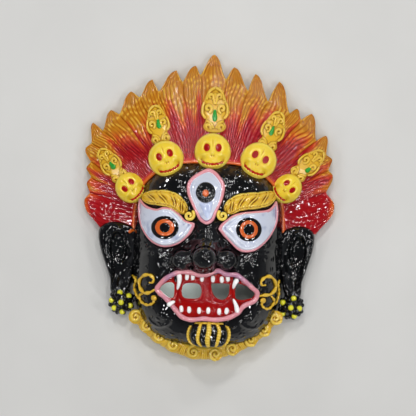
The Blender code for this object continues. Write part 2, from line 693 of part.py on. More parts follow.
def make_hollow(cutters):
    """Cutters for the hollow, a wall's thickness under the front, and for the flat back."""
    def inner(x, y):
        left = max(0.0, 1.0 - face_share(x, y, WALL))
        return (FACE_DEPTH - WALL) * left ** FACE_FULLNESS

    face_dome("face_hollow", WALL, inner, HOLLOW_SEGMENTS, HOLLOW_RINGS, cutters)
    sections = []
    for k in range(HOLLOW_STEPS + 1):
        turn = math.radians(HOLLOW_SIDE_TURN) * (2 * k / HOLLOW_STEPS - 1)
        root = hairline_reach(turn)
        span = flame_reach(turn) - root
        outer = 1 - CROWN_RIM / span
        section = []
        for share in (-HOLLOW_OVERLAP, 0.0, outer / 2, outer):
            section.append((*crown_point(turn, root + span * share), crown_height(turn, max(share, 0.0)) - WALL))
        for share in (outer, -HOLLOW_OVERLAP):
            section.append((*crown_point(turn, root + span * share), -FOOT * PART))
        sections.append(section)
    loft("crown_hollow", sections, cutters)
    below = bmesh.new()
    bmesh.ops.create_cube(below, size=2 * MASK_HEIGHT)
    bmesh.ops.translate(below, vec=(0, 0, -MASK_HEIGHT), verts=below.verts)
    add_mesh("back_plane", below, cutters)


def combine(base, tools, operation, group):
    """Joins a collection of shapes to a base, or cuts them from it, and returns the new body."""
    step = base.modifiers.new(operation.lower(), "BOOLEAN")
    step.operation = operation
    step.operand_type = "COLLECTION"
    step.collection = tools
    body = as_mesh(base, group)
    fill_voids(body)
    for tool in list(tools.objects):
        bpy.data.objects.remove(tool, do_unlink=True)
    bpy.data.collections.remove(tools)
    return body


def fill_voids(item):
    """Drops the small shells that forms meeting over a dip leave sealed between them."""
    shape = bmesh.new()
    shape.from_mesh(item.data)
    left = set(shape.verts)
    shells = []
    while left:
        shell = set()
        edge = {left.pop()}
        while edge:
            shell |= edge
            edge = {e.other_vert(v) for v in edge for e in v.link_edges} - shell
        left -= shell
        shells.append(shell)
    shells.sort(key=len)
    for shell in shells[:-1]:
        bmesh.ops.delete(shape, geom=list(shell), context="VERTS")
    shape.to_mesh(item.data)
    shape.free()


def merge_flat_faces(item):
    """Merges faces that lie in one plane, which the joining of the forms has cut up."""
    shape = bmesh.new()
    shape.from_mesh(item.data)
    bmesh.ops.dissolve_limit(shape, angle_limit=math.radians(FLAT_DEGREES), verts=shape.verts, edges=shape.edges)
    bmesh.ops.triangulate(shape, faces=shape.faces)
    shape.to_mesh(item.data)
    shape.free()


def enamel():
    """Black gloss enamel, the ground colour of the mask."""
    material = bpy.data.materials.new("black_enamel")
    material.use_nodes = True
    shader = material.node_tree.nodes["Principled BSDF"]
    shader.inputs["Base Color"].default_value = (0.012, 0.012, 0.013, 1.0)
    shader.inputs["Roughness"].default_value = 0.22
    shader.inputs["Metallic"].default_value = 0.0
    return material


def main():
    clear_scene()
    group = add_collection("wall_mask")
    carving = add_collection("carving")
    cutters = add_collection("cutters")
    crown = make_crown(group)
    face_dome("face", 0.0, face_ground, FACE_SEGMENTS, FACE_RINGS, carving)
    make_hairline(carving)
    for k, skull in enumerate(SKULLS):
        make_skull(k, skull, carving, cutters)
    for k, leaf in enumerate(LEAVES):
        make_leaf(k, leaf, carving)
    make_eyes(carving)
    make_brows(carving)
    make_nose(carving)
    make_mouth(carving, cutters)
    make_scrolls(carving)
    make_chin(carving)
    make_beard(carving)
    make_ears(carving)
    make_beads(carving)
    make_hollow(cutters)
    whole = combine(crown, carving, "UNION", group)
    mask = combine(whole, cutters, "DIFFERENCE", group)
    merge_flat_faces(mask)
    mask.name = "mask"
    mask.data.name = "mask"
    mask.data.materials.append(enamel())
    mask.data.shade_smooth()
    mask.data.set_sharp_from_angle(angle=math.radians(SHARP_DEGREES))


main()
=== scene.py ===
"""Finished carving and paints for a cast wall mask of a wrathful guardian.

The mask lies on its flat back: +Z points out of the face, +Y runs from the chin to the crown of flames and
+X is the viewer's right. Lengths called parts are 250ths of the mask's height.
"""

import math

import bpy
import numpy as np
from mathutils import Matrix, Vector
from mathutils.bvhtree import BVHTree


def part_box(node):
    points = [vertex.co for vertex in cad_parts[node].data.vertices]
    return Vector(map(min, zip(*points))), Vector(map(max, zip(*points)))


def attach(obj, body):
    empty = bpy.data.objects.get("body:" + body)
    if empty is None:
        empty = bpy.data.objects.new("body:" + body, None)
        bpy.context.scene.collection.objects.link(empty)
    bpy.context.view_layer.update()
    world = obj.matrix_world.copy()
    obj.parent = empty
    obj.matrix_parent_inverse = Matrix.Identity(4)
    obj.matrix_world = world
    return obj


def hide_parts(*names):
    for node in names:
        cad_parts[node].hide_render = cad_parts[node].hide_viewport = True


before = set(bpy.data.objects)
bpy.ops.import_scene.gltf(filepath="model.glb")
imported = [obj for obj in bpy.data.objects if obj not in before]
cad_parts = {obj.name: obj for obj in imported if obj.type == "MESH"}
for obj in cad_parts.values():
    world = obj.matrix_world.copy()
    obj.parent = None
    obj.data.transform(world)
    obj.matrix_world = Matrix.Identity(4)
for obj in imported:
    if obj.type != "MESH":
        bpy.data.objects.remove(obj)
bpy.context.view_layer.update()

bl_info = {
    "name": "Guardian Wall Mask",
    "version": (1, 0, 0),
    "blender": (4, 5, 0),
    "location": "View3D > Sidebar > Mask",
    "description": "Carves and paints a cast wall mask of a wrathful guardian",
    "category": "Object",
}

LOWEST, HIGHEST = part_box("mask")
PART = (HIGHEST.y - LOWEST.y) / 250

# The forms of the solid mask, in parts, which the carving follows
FACE_DEPTH = 46.0
FLAME_TIP_DEPTH = 7.0
HAIRLINE_STEP = 3.0
EAR_DEPTH = 11.0
BEARD_DEPTH = 12.0
CROWN_RIM = 30.0
FACE_HALF_WIDTH = 61.5
FACE_HALF_LENGTH = 80.0
FACE_MIDDLE = -34.0
FACE_SQUARENESS = 3.2
FACE_FULLNESS = 0.4
# Place, half sizes, rise, and whether the form is there on both sides
FACE_FORMS = (
    (41, -44, 13, 13, 4.5, True),
    (36, -87, 9, 8, 5.0, True),
    (33, -17, 17, 12, -2.0, True),
    (30, 3, 22, 7, 3.0, True),
    (0, -22, 9, 18, 8.0, False),
    (0, -68, 52, 34, 4.0, False),
    (0, -70, 31, 16, -5.0, False),
)
CROWN_MIDDLE = (0.0, -20.0)
CROWN_SIDE_TURN = 90.0
CROWN_SIDE_REACH = 88.0
CROWN_SWELL = 2.0
HAIRLINE_HALF_WIDTH = 61.0
HAIRLINE_RISE = 56.7
HAIRLINE_SQUARENESS = 2.8
HOLLOW_SIDE_TURN = 78.0
HOLLOW_OVERLAP = 0.15
FLAME_REACH = 136.0
FLAME_REACH_LOSS = 0.30
FLAME_RIDGE = 1.8
# The turn from upright in degrees and the reach of each flame's tip, and of the notch to its right
FLAMES = (
    (-77.0, 104.6, -72.9, 102.2), (-69.5, 107.0, -66.6, 106.0), (-63.6, 112.6, -61.0, 112.0),
    (-57.2, 121.4, -54.0, 120.2), (-48.1, 130.0, -47.3, 119.4), (-40.3, 127.6, -38.4, 120.6),
    (-30.4, 131.0, -28.6, 123.4), (-21.7, 132.8, -21.0, 121.4), (-12.7, 134.6, -11.4, 124.2),
    (-5.9, 136.2, -4.2, 128.4), (0.5, 145.0, 5.2, 125.4), (7.6, 136.2, 14.0, 119.4),
    (15.2, 134.8, 22.8, 116.8), (23.8, 135.9, 32.7, 117.2), (34.5, 124.0, 38.1, 118.8),
    (39.8, 128.4, 48.1, 115.2), (49.4, 124.4, 55.4, 115.4), (58.0, 117.2, 61.2, 110.6),
    (64.0, 111.6, 70.0, 101.6), (76.4, 105.4, 90.0, 88.0),
)
# Place, half width, half height and turn in degrees
SKULLS = (
    (-63.7, 14.4, 12.3, 13.0, 50), (-35.5, 38.2, 14.3, 14.6, 22), (1.8, 44.8, 14.6, 14.8, 0),
    (38.8, 38.5, 14.6, 14.8, -26), (62.4, 16.8, 11.6, 13.0, -51),
)
# Place, length, width and lean in degrees
LEAVES = (
    (-80.5, 32.8, 32, 15.5, 38), (-43.0, 66.1, 33, 17, 13), (2.9, 79.2, 38, 20, 0),
    (50.2, 63.5, 34, 17.5, -20), (80.3, 37.0, 33, 16, -47),
)
# Place, half width and half height of the green drop on each leaf
JEWELS = (
    (-78.6, 31.1, 2.6, 3.6), (-42.1, 65.2, 2.4, 4.1), (2.8, 72.7, 2.5, 5.0), (48.9, 61.9, 2.3, 4.1),
    (79.2, 32.0, 2.3, 3.0),
)
# The right edge of a leaf ornament from its foot to its tip, as shares of its half width and its length
LEAF_PROFILE = (
    (0.0, 0.0), (0.65, 0.03), (0.93, 0.13), (0.74, 0.27), (1.0, 0.44), (0.96, 0.62), (0.66, 0.86),
    (0.0, 0.99),
)
LIP_OUTLINE = (
    (-39.4, -65.2), (-33.1, -57.7), (-24, -52.5), (-14.9, -51.8), (-6.5, -53.7), (0.1, -53.1), (8.3, -50),
    (15.1, -52.7), (23.4, -53.2), (30.2, -58), (35.3, -62.4), (40.2, -67.3), (38, -73.4), (30, -77.5),
    (24.9, -83.4), (17.7, -87.5), (7.8, -89.3), (-2.2, -88.7), (-12.1, -89.8), (-19.5, -87.5), (-25, -81.5),
    (-31.6, -73.9), (-37.5, -69),
)
# The openings between the teeth, from left to right
MOUTH_OPENINGS = (
    (
        (-37.3, -66), (-33.5, -61.5), (-28.5, -60.3), (-26.1, -62.5), (-26.1, -71), (-28.5, -72.9),
        (-34, -70.5),
    ),
    (
        (-19.8, -65.6), (-18.7, -62.1), (-15.2, -60.6), (-9, -60.6), (-5.5, -62), (-4.3, -65.4),
        (-4.3, -68.4), (-5.6, -71.8), (-9, -73), (-15, -73), (-18.8, -71.7), (-19.8, -68.4),
    ),
    ((3.4, -61.5), (5, -60.3), (16.5, -60.3), (17.9, -62), (17.4, -69), (14, -73.1), (9, -72.6), (5, -68.5)),
    (
        (22.9, -61.5), (24.5, -59.8), (32, -62), (37, -65.5), (38.1, -68.5), (35.5, -71.5), (27, -73.2),
        (22.9, -71),
    ),
)
# The roots of the incisors, and the root and tip of each fang
UPPER_INCISORS = ((-15.9, -52.7), (-11.3, -52.6), (-4, -53.7), (4.6, -54), (11.6, -54.3), (16.4, -53.1))
LOWER_INCISORS = ((-19.8, -84.2), (-13.6, -84.7), (-5.7, -85.1), (1.6, -84.9), (10.2, -85.4), (16.1, -84.9))
FANGS = (
    ((-22.2, -53.1), (-23.5, -66)), ((24.3, -56.1), (20.9, -64.2)), ((-30.8, -78.7), (-24.9, -75.2)),
    ((25, -83.1), (21.1, -72)),
)
EAR_OUTLINE = (
    (60, -19), (66, -14.6), (74, -13), (81.5, -14.6), (86.4, -20), (86.2, -31), (81.8, -46.5), (77.5, -60),
    (76.5, -71), (69, -74), (62.5, -67), (59.5, -50), (56, -34),
)
# Middle of each cluster and the places of its yellow beads
BEAD_CLUSTERS = (
    (
        (-69.4, -78.5),
        (
            (-70.5, -71.2), (-63.3, -73.7), (-77.2, -77.5), (-69.3, -78.9), (-62, -81.5), (-74.9, -83.7),
            (-68.4, -86.7),
        ),
    ),
    (
        (69.0, -79.0),
        ((62.1, -75.8), (70.8, -72.2), (68.6, -79.7), (75.7, -80.2), (62.3, -84.9), (71.8, -86.6)),
    ),
)
CLUSTER_RADIUS = 9.5
CLUSTER_HEIGHT = 7.6
CHIN = (2.4, -101.6)
CHIN_HALF_SIZES = (18.0, 10.4, 12.0)
BEARD_MIDDLE = (-1.0, -70.0)
BEARD_HALF_WIDTH = 61.5
BEARD_DROP = 49.6
BEARD_SQUARENESS = 1.8
BEARD_HALF_BAND = 5.4
BEARD_INNER_EDGE = 9.0
BEARD_SLOPE = 0.55
BEARD_ENDS = (-72, 71)  # turned from straight down, in degrees
BEARD_CURLS = (
    (-57.0, -90.3), (-47.3, -97.7), (-37.2, -105.6), (-25.7, -112.3), (-9.5, -117.6), (8.5, -118.6),
    (22.0, -113.9), (36.5, -106.4), (47.2, -98.1), (56.4, -88.4),
)

# The finer forms, in parts. The rings are the half sizes of rim, iris and pupil, and a brow's third number is
# its half width
EYES = {
    "left": {
        "iris": (-34.6, -16.9),
        "middle": (-43.5, -12.5),
        "rings": ((11.1, 9.3), (8.1, 7.0), (4.7, 4.4)),
        "upper": (
            (-55.8, 5.0), (-52.2, 0.6), (-47.1, -2.4), (-41.5, -3.6), (-36.7, -2.1), (-32.8, -2.2),
            (-28.6, -3.4), (-23.6, -7.2), (-19.0, -11.9), (-12.1, -13.9),
        ),
        "lower": (
            (-12.3, -15.3), (-15.7, -21.3), (-23.2, -28.0), (-31.2, -30.9), (-38.3, -30.6), (-46.3, -26.2),
            (-52.6, -18.1), (-55.4, -10.2), (-56.4, -1.4),
        ),
        "brow": (
            (-54.6, 7.0, 4.2), (-48.6, 6.7, 5.6), (-42.3, 6.7, 6.3), (-35.2, 6.3, 6.8), (-28.8, 4.7, 6.7),
            (-24.0, 1.4, 6.0), (-20.6, -2.0, 5.0), (-18.0, -4.6, 4.2),
        ),
        "curl": (-15.6, -6.8),
    },
    "right": {
        "iris": (32.1, -16.7),
        "middle": (43.0, -12.0),
        "rings": ((10.3, 9.5), (7.6, 7.5), (5.0, 5.0)),
        "upper": (
            (9.2, -17.0), (10.9, -13.9), (15.7, -9.8), (20.8, -6.4), (28.4, -4.4), (36.3, -3.5),
            (45.8, -2.2), (50.6, 0.7), (53.9, 5.6),
        ),
        "lower": (
            (55.1, -1.4), (54.0, -11.7), (49.0, -21.4), (43.4, -27.6), (37.1, -32.2), (30.0, -33.7),
            (24.0, -31.9), (17.7, -26.0), (12.9, -21.4),
        ),
        "brow": (
            (53.4, 11.9, 5.0), (47.4, 8.9, 6.3), (41.1, 6.9, 6.7), (33.9, 6.0, 7.0), (26.8, 5.1, 7.0),
            (20.8, 2.8, 6.6), (16.4, -0.7, 5.8), (13.6, -3.6, 4.6),
        ),
        "curl": (11.2, -6.2),
    },
}
THIRD_IRIS = (-2.9, 11.8)
THIRD_EYE_OUTLINE = (
    (-1.6, 29.2), (-8.2, 26.0), (-14.1, 21.3), (-16.2, 16.2), (-15.6, 9.9), (-12.0, 1.6), (-8.9, -5.1),
    (-6.3, -9.8), (-1.6, -12.4), (2.8, -9.8), (5.1, -3.5), (8.6, 5.1), (10.3, 12.2), (10.1, 18.6),
    (5.7, 25.3), (2.1, 28.2),
)
# Place and radius along the bars of each scroll
SCROLLS = {
    "left": (
        (
            (-41.4, -66.6, 1.2), (-46, -69.3, 1.9), (-50.6, -69.6, 1.9), (-54, -65.1, 1.9),
            (-54.2, -59.8, 1.8), (-50.3, -55.7, 1.9), (-45.7, -55.2, 1.9), (-42.6, -58.0, 1.6),
            (-43.6, -61.2, 1.2), (-46.2, -61.2, 1.0),
        ),
        (
            (-51.2, -70.4, 1.4), (-54.0, -72.6, 1.5), (-52.6, -77.2, 1.5), (-47.4, -79.4, 1.5),
            (-42.6, -77.4, 1.4), (-42.1, -73.6, 1.5),
        ),
        (
            (-60.6, -57.0, 1.2), (-57.6, -60.2, 1.5), (-58.9, -66.6, 1.5), (-56.4, -72.8, 1.4),
            (-54.0, -75.6, 1.0),
        ),
    ),
    "right": (
        (
            (41.4, -69.8, 1.2), (45.5, -69.1, 1.7), (51.4, -68.3, 1.9), (55.4, -63.5, 1.9),
            (54.3, -57.6, 1.8), (50.2, -54.0, 1.9), (45.9, -54.9, 1.8), (43.2, -58.1, 1.5),
            (44.0, -61.0, 1.2), (47.2, -60.8, 1.0),
        ),
        (
            (51.6, -69.6, 1.4), (54.6, -74.3, 1.5), (51.7, -79.2, 1.5), (47.9, -80.1, 1.4),
            (44.4, -77.1, 1.3), (45.2, -73.4, 1.4),
        ),
        ((58.6, -57.4, 1.2), (57.4, -61.0, 1.5), (58.6, -66.8, 1.5), (57.6, -73.2, 1.3), (55.6, -77.0, 1.0)),
    ),
}

# The carving of the face, in parts and degrees
WRINKLES = (-2, -23, 8, 9)  # place and half sizes of the wrinkled bridge of the nose
WRINKLE_RISE = 0.8
WRINKLE_SPACING = 3.6
WRINKLE_BOW = 0.06
FOLD_HALF_WIDTH = 1.3
# Middle, radius, rise, and the turns where a fold of the right side begins and ends
FOLDS = (((44, -56), 19, 1.5, 60, 205), ((44, -56), 22.5, 1.2, 60, 205), ((37, -86), 10.5, 1.6, 200, 350))
# Place, half sizes and rise of the swelling beside the nose and of the hollow temple, on the right side
SIDE_FORMS = ((12, -33, 5, 4, 0.9), (47, -6, 3, 12, -1.0))
# The soft ridges beyond the lids: where they are highest, how fast they fade, and their rise and spacing
EYE_FOLD_REACH = 5.5
EYE_FOLD_WIDTH = 4
EYE_FOLDS = (0.45, 3.1)
THIRD_EYE_FOLDS = (0.4, 3.3)
NOSE_TIP = ((-2.6, -40.3), (10.8, 9.4, 9.5), 9.0)  # place, half sizes and lift
NOSE_WINGS = (((-19.4, -42.3), (8.8, 7.8, 6.5), 4.6), ((14.5, -41.4), (8.8, 7.8, 6.5), 4.6))
WING_GROOVE_RADIUS = 5.4
WING_GROOVE_DEPTH = 1.1
NOSTRILS = ((-13.6, -47.6), (8.6, -47.2))
NOSTRIL_HALF_SIZES = (3.2, 2.4)
NOSTRIL_DEPTH = 4.5

# A skull about its own middle, before it is scaled to its place
SKULL_WIDTH = 14.5
SKULL_HEIGHT = 14.7
SKULL_EDGE = 1.5
SKULL_RISE = 8.5
SKULL_SINK = 9.0
SKULL_FOOT = 2.8  # how far its underside may reach below the crown's plain front
SOCKET = (4.7, 3.0)
# Place, half sizes and rise of the nose, seam, nostril, cheekbone, hollow cheek and temple
SKULL_FORMS = (
    (0.0, -1.6, 1.5, 1.7, 1.4), (0.0, 7.0, 0.6, 4.0, -0.6), (0.9, -3.6, 0.5, 0.7, -0.9),
    (6.6, -2.6, 2.8, 1.7, 1.1), (8.6, -6.6, 2.2, 2.2, -1.5), (11.4, 5.0, 1.8, 3.4, -0.9),
)
SKULL_TEETH = 6
SKULL_TOOTH_SPACING = 2.2

# A leaf ornament about its own middle. Its curls: shares across and along, radius, begin, sweep, thickness
LEAF_LENGTH = 34.0
LEAF_WIDTH = 19.0
LEAF_CURLS = (
    (0.56, 0.12, 2.6, 230, -330, 1.3), (0.56, 0.52, 3.4, 270, -430, 1.35),
    (0.36, 0.78, 2.5, 250, -380, 1.25),
)
LEAF_RIBS = (
    ((0.10, 0.08), (0.30, 0.20), (0.72, 0.25)),
    ((0.72, 0.30), (0.99, 0.40), (1.0, 0.54), (0.86, 0.66)),
    ((0.70, 0.70), (0.62, 0.80), (0.42, 0.91), (0.0, 0.975)),
    ((0.04, 0.60), (0.10, 0.72), (0.0, 0.86)),
)

# The eyes: half sizes and rise of the ball, and how much the discs on it step up
EYEBALL = ((19, 17), 6.4)
THIRD_EYEBALL = ((12, 13), 5.2)
RIM_STEP = 0.6
IRIS_STEP = 1.1
PUPIL_STEP = 1.5
THIRD_RIM = (7.8, 8.3)
THIRD_IRIS_SPOT = ((-2.9, 11.1), (2.7, 3.0))
LID_LIFT = 2.3
THIRD_LID_LIFT = 2.1
SEAM_INSET = 1.6
TEAR_MIDDLE = (-2.4, -1.0)
TEAR_OUTLINE = ((-7.6, 3.4), (-2.6, 2.2), (2.4, 3.8), (1.6, -3.0), (-1.0, -9.0), (-4.8, -3.2))

# The mouth, the chin and the ears
MOUTH_MIDDLE = (0.5, -69.0)
LIP_RADIUS = 1.95
LIP_SWELLINGS = 23
GUM_DEPTH = 4.8
TOOTH_LENGTH = 5.6
# Sideways bow and lift of each fang
FANG_BOWS = ((0.9, 0.0), (-0.6, 0.0), (-0.4, 1.8), (0.6, 0.8))
# Turn over the chin's ball, in degrees, and half width of each rib
CHIN_RIBS = ((13, 1.2), (60, 1.5), (89, 2.1), (119, 1.6), (165, 1.4))
EAR_MIDDLE = (71.5, -40.0)
# Share of the way out from the middle of the ear, and the height of its rim there
EAR_RIM = ((0, 0.5, 0.62, 0.78, 0.9, 0.97, 1.0), (0.4, 0.6, 1.9, 3.9, 3.8, 2.0, -1.0))
BROW_CURL_RADIUS = 4.5
BEARD_CURL_SCALE = 1.12
KNOBS = 30
KNOB_RADIUS = 1.9
BEAD_RADIUS = 2.35
GOLDEN_TURN = 2.39996  # spreads points evenly over a ball, in radians

# The stage, in metres, watts and degrees
CAMERA_PLACE = (-0.00074, -0.00053)
CAMERA_TURN = 1.5
PICTURE_WIDTH = 0.3418  # what the camera sees of the floor
SENSOR_WIDTH = 36
AIM = (0, 0, 0.02)
KEY_LIGHT = ((-0.12, 0.70, 1.05), 0.10, 3.1)  # place, size and power
HOLLOW_LIGHT = ((-0.024, -0.06, 0.024), 0.01, 0.019)  # place, radius and power
GLINT_DISTANCE = 1.2
GLINT_SIZE = 0.08
GLINT_POWER = 1.12
# Small lights around the camera, by their turn and their lean from upright
GLINTS = (
    (20, 38), (62, 22), (108, 12), (150, 30), (196, 42), (238, 20), (288, 34), (330, 24), (352, 46),
    (78, 46), (130, 62), (52, 64), (232, 60), (308, 62),
)

BODY = "root"


# Paints

def colour(red, green, blue):
    """A paint as it looks on a screen, 0 to 255, as linear light."""
    def linear(value):
        return value / 12.92 if value <= 0.04045 else ((value + 0.055) / 1.055) ** 2.4

    return tuple(linear(value / 255) for value in (red, green, blue))


def paint_property(name, description, default):
    return bpy.props.FloatVectorProperty(
        name=name, description=description, subtype="COLOR", size=3, min=0.0, max=1.0, default=default
    )


class MaskPaints(bpy.types.PropertyGroup):
    """The enamels of the mask."""

    black: paint_property("Black", "Face, ears and irises", colour(10, 10, 12))
    crimson: paint_property("Crimson", "Roots of the flames", colour(160, 14, 22))
    vermilion: paint_property("Vermilion", "Middle of the flames", colour(208, 76, 30))
    amber: paint_property("Amber", "Tips of the flames", colour(192, 122, 24))
    yellow: paint_property("Yellow", "Skulls and leaf ornaments", colour(240, 205, 48))
    gilt: paint_property("Gilt", "Brows, scrolls and beard", colour(226, 180, 46))
    white: paint_property("White", "Eyes and teeth", colour(210, 216, 232))
    lilac: paint_property("Lilac", "Shade in the white of the eyes", colour(150, 156, 190))
    pink: paint_property("Pink", "Lips and eyelids", colour(228, 150, 160))
    red: paint_property("Red", "Gums and the sockets of the skulls", colour(154, 9, 7))
    orange: paint_property("Orange", "Irises and the roll at the hairline", colour(214, 94, 24))
    green: paint_property("Green", "Drops on the leaf ornaments", colour(34, 158, 46))
    lemon: paint_property("Lemon", "Beads below the ears", colour(226, 222, 44))


class MaskSizes(bpy.types.PropertyGroup):
    """Sizes of the carving that can be set."""

    wall: bpy.props.FloatProperty(
        name="Wall", description="Thickness of the casting", default=6 * PART, min=0.001, unit="LENGTH"
    )
    stipple: bpy.props.FloatProperty(
        name="Stipple", description="Height of the grain on the black enamel", default=0.85 * PART, min=0.0,
        unit="LENGTH",
    )
    strand: bpy.props.FloatProperty(
        name="Strand", description="Height of the strands of the flames", default=1.0 * PART, min=0.0,
        unit="LENGTH",
    )
    camera_distance: bpy.props.FloatProperty(
        name="Camera distance", description="From the floor to the camera", default=1.4, min=0.3,
        unit="LENGTH",
    )


def paints():
    return bpy.context.scene.mask_paints


def sizes():
    return bpy.context.scene.mask_sizes


# Grounds: heights of the plain forms over the back, in metres, at places in metres

def face_share(x, y, inset=0.0):
    """Nought at the middle of the face and one at its outline, less an inset."""
    across = np.abs(x) / (FACE_HALF_WIDTH * PART - inset)
    along = np.abs(y - FACE_MIDDLE * PART) / (FACE_HALF_LENGTH * PART - inset)
    return across ** FACE_SQUARENESS + along ** FACE_SQUARENESS


def bump(x, y, across, along, wide, tall, power=1.0):
    """A soft round hill of height one."""
    u = (x / PART - across) / wide
    v = (y / PART - along) / tall
    return np.exp(-((u * u + v * v) ** power))


def face_ground(x, y):
    left = np.maximum(1.0 - face_share(x, y), 0.0)
    height = FACE_DEPTH * left ** FACE_FULLNESS
    fade = np.minimum(1.0, 4.0 * left)
    for across, along, wide, tall, rise, twin in FACE_FORMS:
        for side in (1, -1) if twin else (1,):
            height = height + fade * rise * bump(x, y, side * across, along, wide, tall)
    return height * PART


def polar(x, y):
    """Turn from upright and reach from the crown's middle."""
    dx = x - CROWN_MIDDLE[0] * PART
    dy = y - CROWN_MIDDLE[1] * PART
    return np.arctan2(dx, dy), np.hypot(dx, dy)


def crown_place(turn, reach):
    return CROWN_MIDDLE[0] * PART + np.sin(turn) * reach, CROWN_MIDDLE[1] * PART + np.cos(turn) * reach


def hairline_reach(turn):
    across = np.abs(np.sin(turn)) / HAIRLINE_HALF_WIDTH
    along = np.abs(np.cos(turn)) / HAIRLINE_RISE
    share = across ** HAIRLINE_SQUARENESS + along ** HAIRLINE_SQUARENESS
    return share ** (-1 / HAIRLINE_SQUARENESS) * PART


def flame_reach(turn):
    return FLAME_REACH * (1 - FLAME_REACH_LOSS * (turn / (math.pi / 2)) ** 2) * PART


def crown_height(turn, share):
    root = face_ground(*crown_place(turn, hairline_reach(turn))) + HAIRLINE_STEP * PART
    return root + (FLAME_TIP_DEPTH * PART - root) * share + CROWN_SWELL * PART * np.sin(math.pi * share)


def crown_share(x, y):
    turn, reach = polar(x, y)
    root = hairline_reach(turn)
    return np.clip((reach - root) / (flame_reach(turn) - root), 0.0, 1.0)


def crown_ground(x, y):
    return crown_height(polar(x, y)[0], crown_share(x, y))


def beard_ground(inset):
    return (BEARD_DEPTH + (BEARD_HALF_BAND + inset) * BEARD_SLOPE) * PART


def beard_place(turn, inset):
    """A place on the beard's line, turned from straight down and moved inwards by an inset in parts."""
    across = np.abs(np.sin(turn)) / (BEARD_HALF_WIDTH - inset)
    along = np.abs(np.cos(turn)) / (BEARD_DROP - inset)
    reach = (across ** BEARD_SQUARENESS + along ** BEARD_SQUARENESS) ** (-1 / BEARD_SQUARENESS)
    return (BEARD_MIDDLE[0] + np.sin(turn) * reach) * PART, (BEARD_MIDDLE[1] - np.cos(turn) * reach) * PART


# Modelling

def start(name, primitive, **settings):
    """Adds a primitive as the only selected object."""
    bpy.ops.object.select_all(action="DESELECT")
    primitive(**settings)
    item = bpy.context.object
    item.name = name
    item.data.name = name
    return item


def pick(item):
    bpy.ops.object.select_all(action="DESELECT")
    item.select_set(True)
    bpy.context.view_layer.objects.active = item


def modify(item, kind, **settings):
    """Adds a modifier, sets it and applies it."""
    pick(item)
    step = item.modifiers.new(kind.title(), kind)
    for key, value in settings.items():
        setattr(step, key, value)
    bpy.ops.object.modifier_apply(modifier=step.name)


def clean(item, weld=0.00001):
    """Merges doubled points and turns the faces outwards."""
    pick(item)
    bpy.ops.object.mode_set(mode="EDIT")
    bpy.ops.mesh.select_all(action="SELECT")
    bpy.ops.mesh.remove_doubles(threshold=weld)
    bpy.ops.mesh.normals_make_consistent(inside=False)
    bpy.ops.mesh.select_all(action="DESELECT")
    bpy.ops.object.mode_set(mode="OBJECT")


def points_of(item):
    co = np.empty(len(item.data.vertices) * 3)
    item.data.vertices.foreach_get("co", co)
    return co.reshape(-1, 3)


def move_points(item, co):
    item.data.vertices.foreach_set("co", np.ascontiguousarray(co, dtype=np.float64).ravel())
    item.data.update()


def store(item, name, values):
    """Keeps a number for each point, which a paint can follow."""
    layer = item.data.attributes.get(name) or item.data.attributes.new(name, "FLOAT", "POINT")
    layer.data.foreach_set("value", np.asarray(values, dtype=np.float32))


def store_recess(item, depth=0.35, reach=10):
    """Keeps how far each point lies in a hollow: nought on a crest, a half on the flat, one in a groove."""
    mesh = item.data
    ends = np.empty(len(mesh.edges) * 2, dtype=np.int64)
    mesh.edges.foreach_get("vertices", ends)
    one, two = ends.reshape(-1, 2).T
    count = len(mesh.vertices)
    near = np.maximum(np.bincount(one, minlength=count) + np.bincount(two, minlength=count), 1)
    co = points_of(item)
    normals = np.empty(count * 3)
    mesh.vertices.foreach_get("normal", normals)
    smooth = co.copy()
    for _ in range(reach):
        for axis in range(3):
            values = smooth[:, axis]
            total = np.bincount(one, values[two], count) + np.bincount(two, values[one], count)
            smooth[:, axis] = 0.5 * (values + total / near)
    away = ((smooth - co) * normals.reshape(-1, 3)).sum(1)
    store(item, "recess", np.clip(0.5 + away / (2 * depth * PART), 0.0, 1.0))


def store_shelter(item, depth=0.35, reach=5, far=3.0, weight=0.9, rays=40):
    """Keeps the recess of each point, with what the piece itself stands over within a distance in parts."""
    store_recess(item, depth, reach)
    mesh = item.data
    places = [vertex.co for vertex in mesh.vertices]
    tree = BVHTree.FromPolygons(places, [face.vertices for face in mesh.polygons])
    up = 1 - 2 * (np.arange(rays) + 0.5) / rays
    turn = np.arange(rays) * GOLDEN_TURN
    flat = np.sqrt(1 - up * up)
    ways = [Vector(way) for way in np.column_stack([flat * np.cos(turn), flat * np.sin(turn), up])]
    values = np.empty(len(mesh.vertices), dtype=np.float32)
    mesh.attributes["recess"].data.foreach_get("value", values)
    for number, vertex in enumerate(mesh.vertices):
        normal = vertex.normal
        if normal.z < -0.3:
            continue
        spot = vertex.co + normal * (0.06 * PART)
        shut = open_sky = 0.0
        for way in ways:
            lean = way.dot(normal)
            if lean > 0.1:
                open_sky += lean
                away = tree.ray_cast(spot, way, far * PART)[3]
                if away is not None:
                    shut += lean * (1 - away / (far * PART))
        values[number] += weight * shut / open_sky
    store(item, "recess", np.clip(values, 0.0, 1.0))


def complete(item, material):
    """Paints and shades a finished piece and fixes it to the mask."""
    item.data.materials.clear()
    item.data.materials.append(material)
    pick(item)
    bpy.ops.object.shade_smooth()
    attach(item, BODY)
    return item


def join(name, items):
    pick(items[0])
    for item in items:
        item.select_set(True)
    if len(items) > 1:
        bpy.ops.object.join()
    whole = bpy.context.object
    whole.name = name
    whole.data.name = name
    return whole


def sheet(name, columns, rows, front, back):
    """A closed plate from a grid: front and back place its points by u and v, which run from -1 to 1."""
    item = start(name, bpy.ops.mesh.primitive_grid_add, x_subdivisions=columns, y_subdivisions=rows, size=2)
    u, v = points_of(item)[:, :2].T
    modify(item, "SOLIDIFY", thickness=0.1, offset=-1)
    move_points(item, np.vstack([np.column_stack(front(u, v)), np.column_stack(back(u, v))]))
    clean(item, 0.000001)
    return item


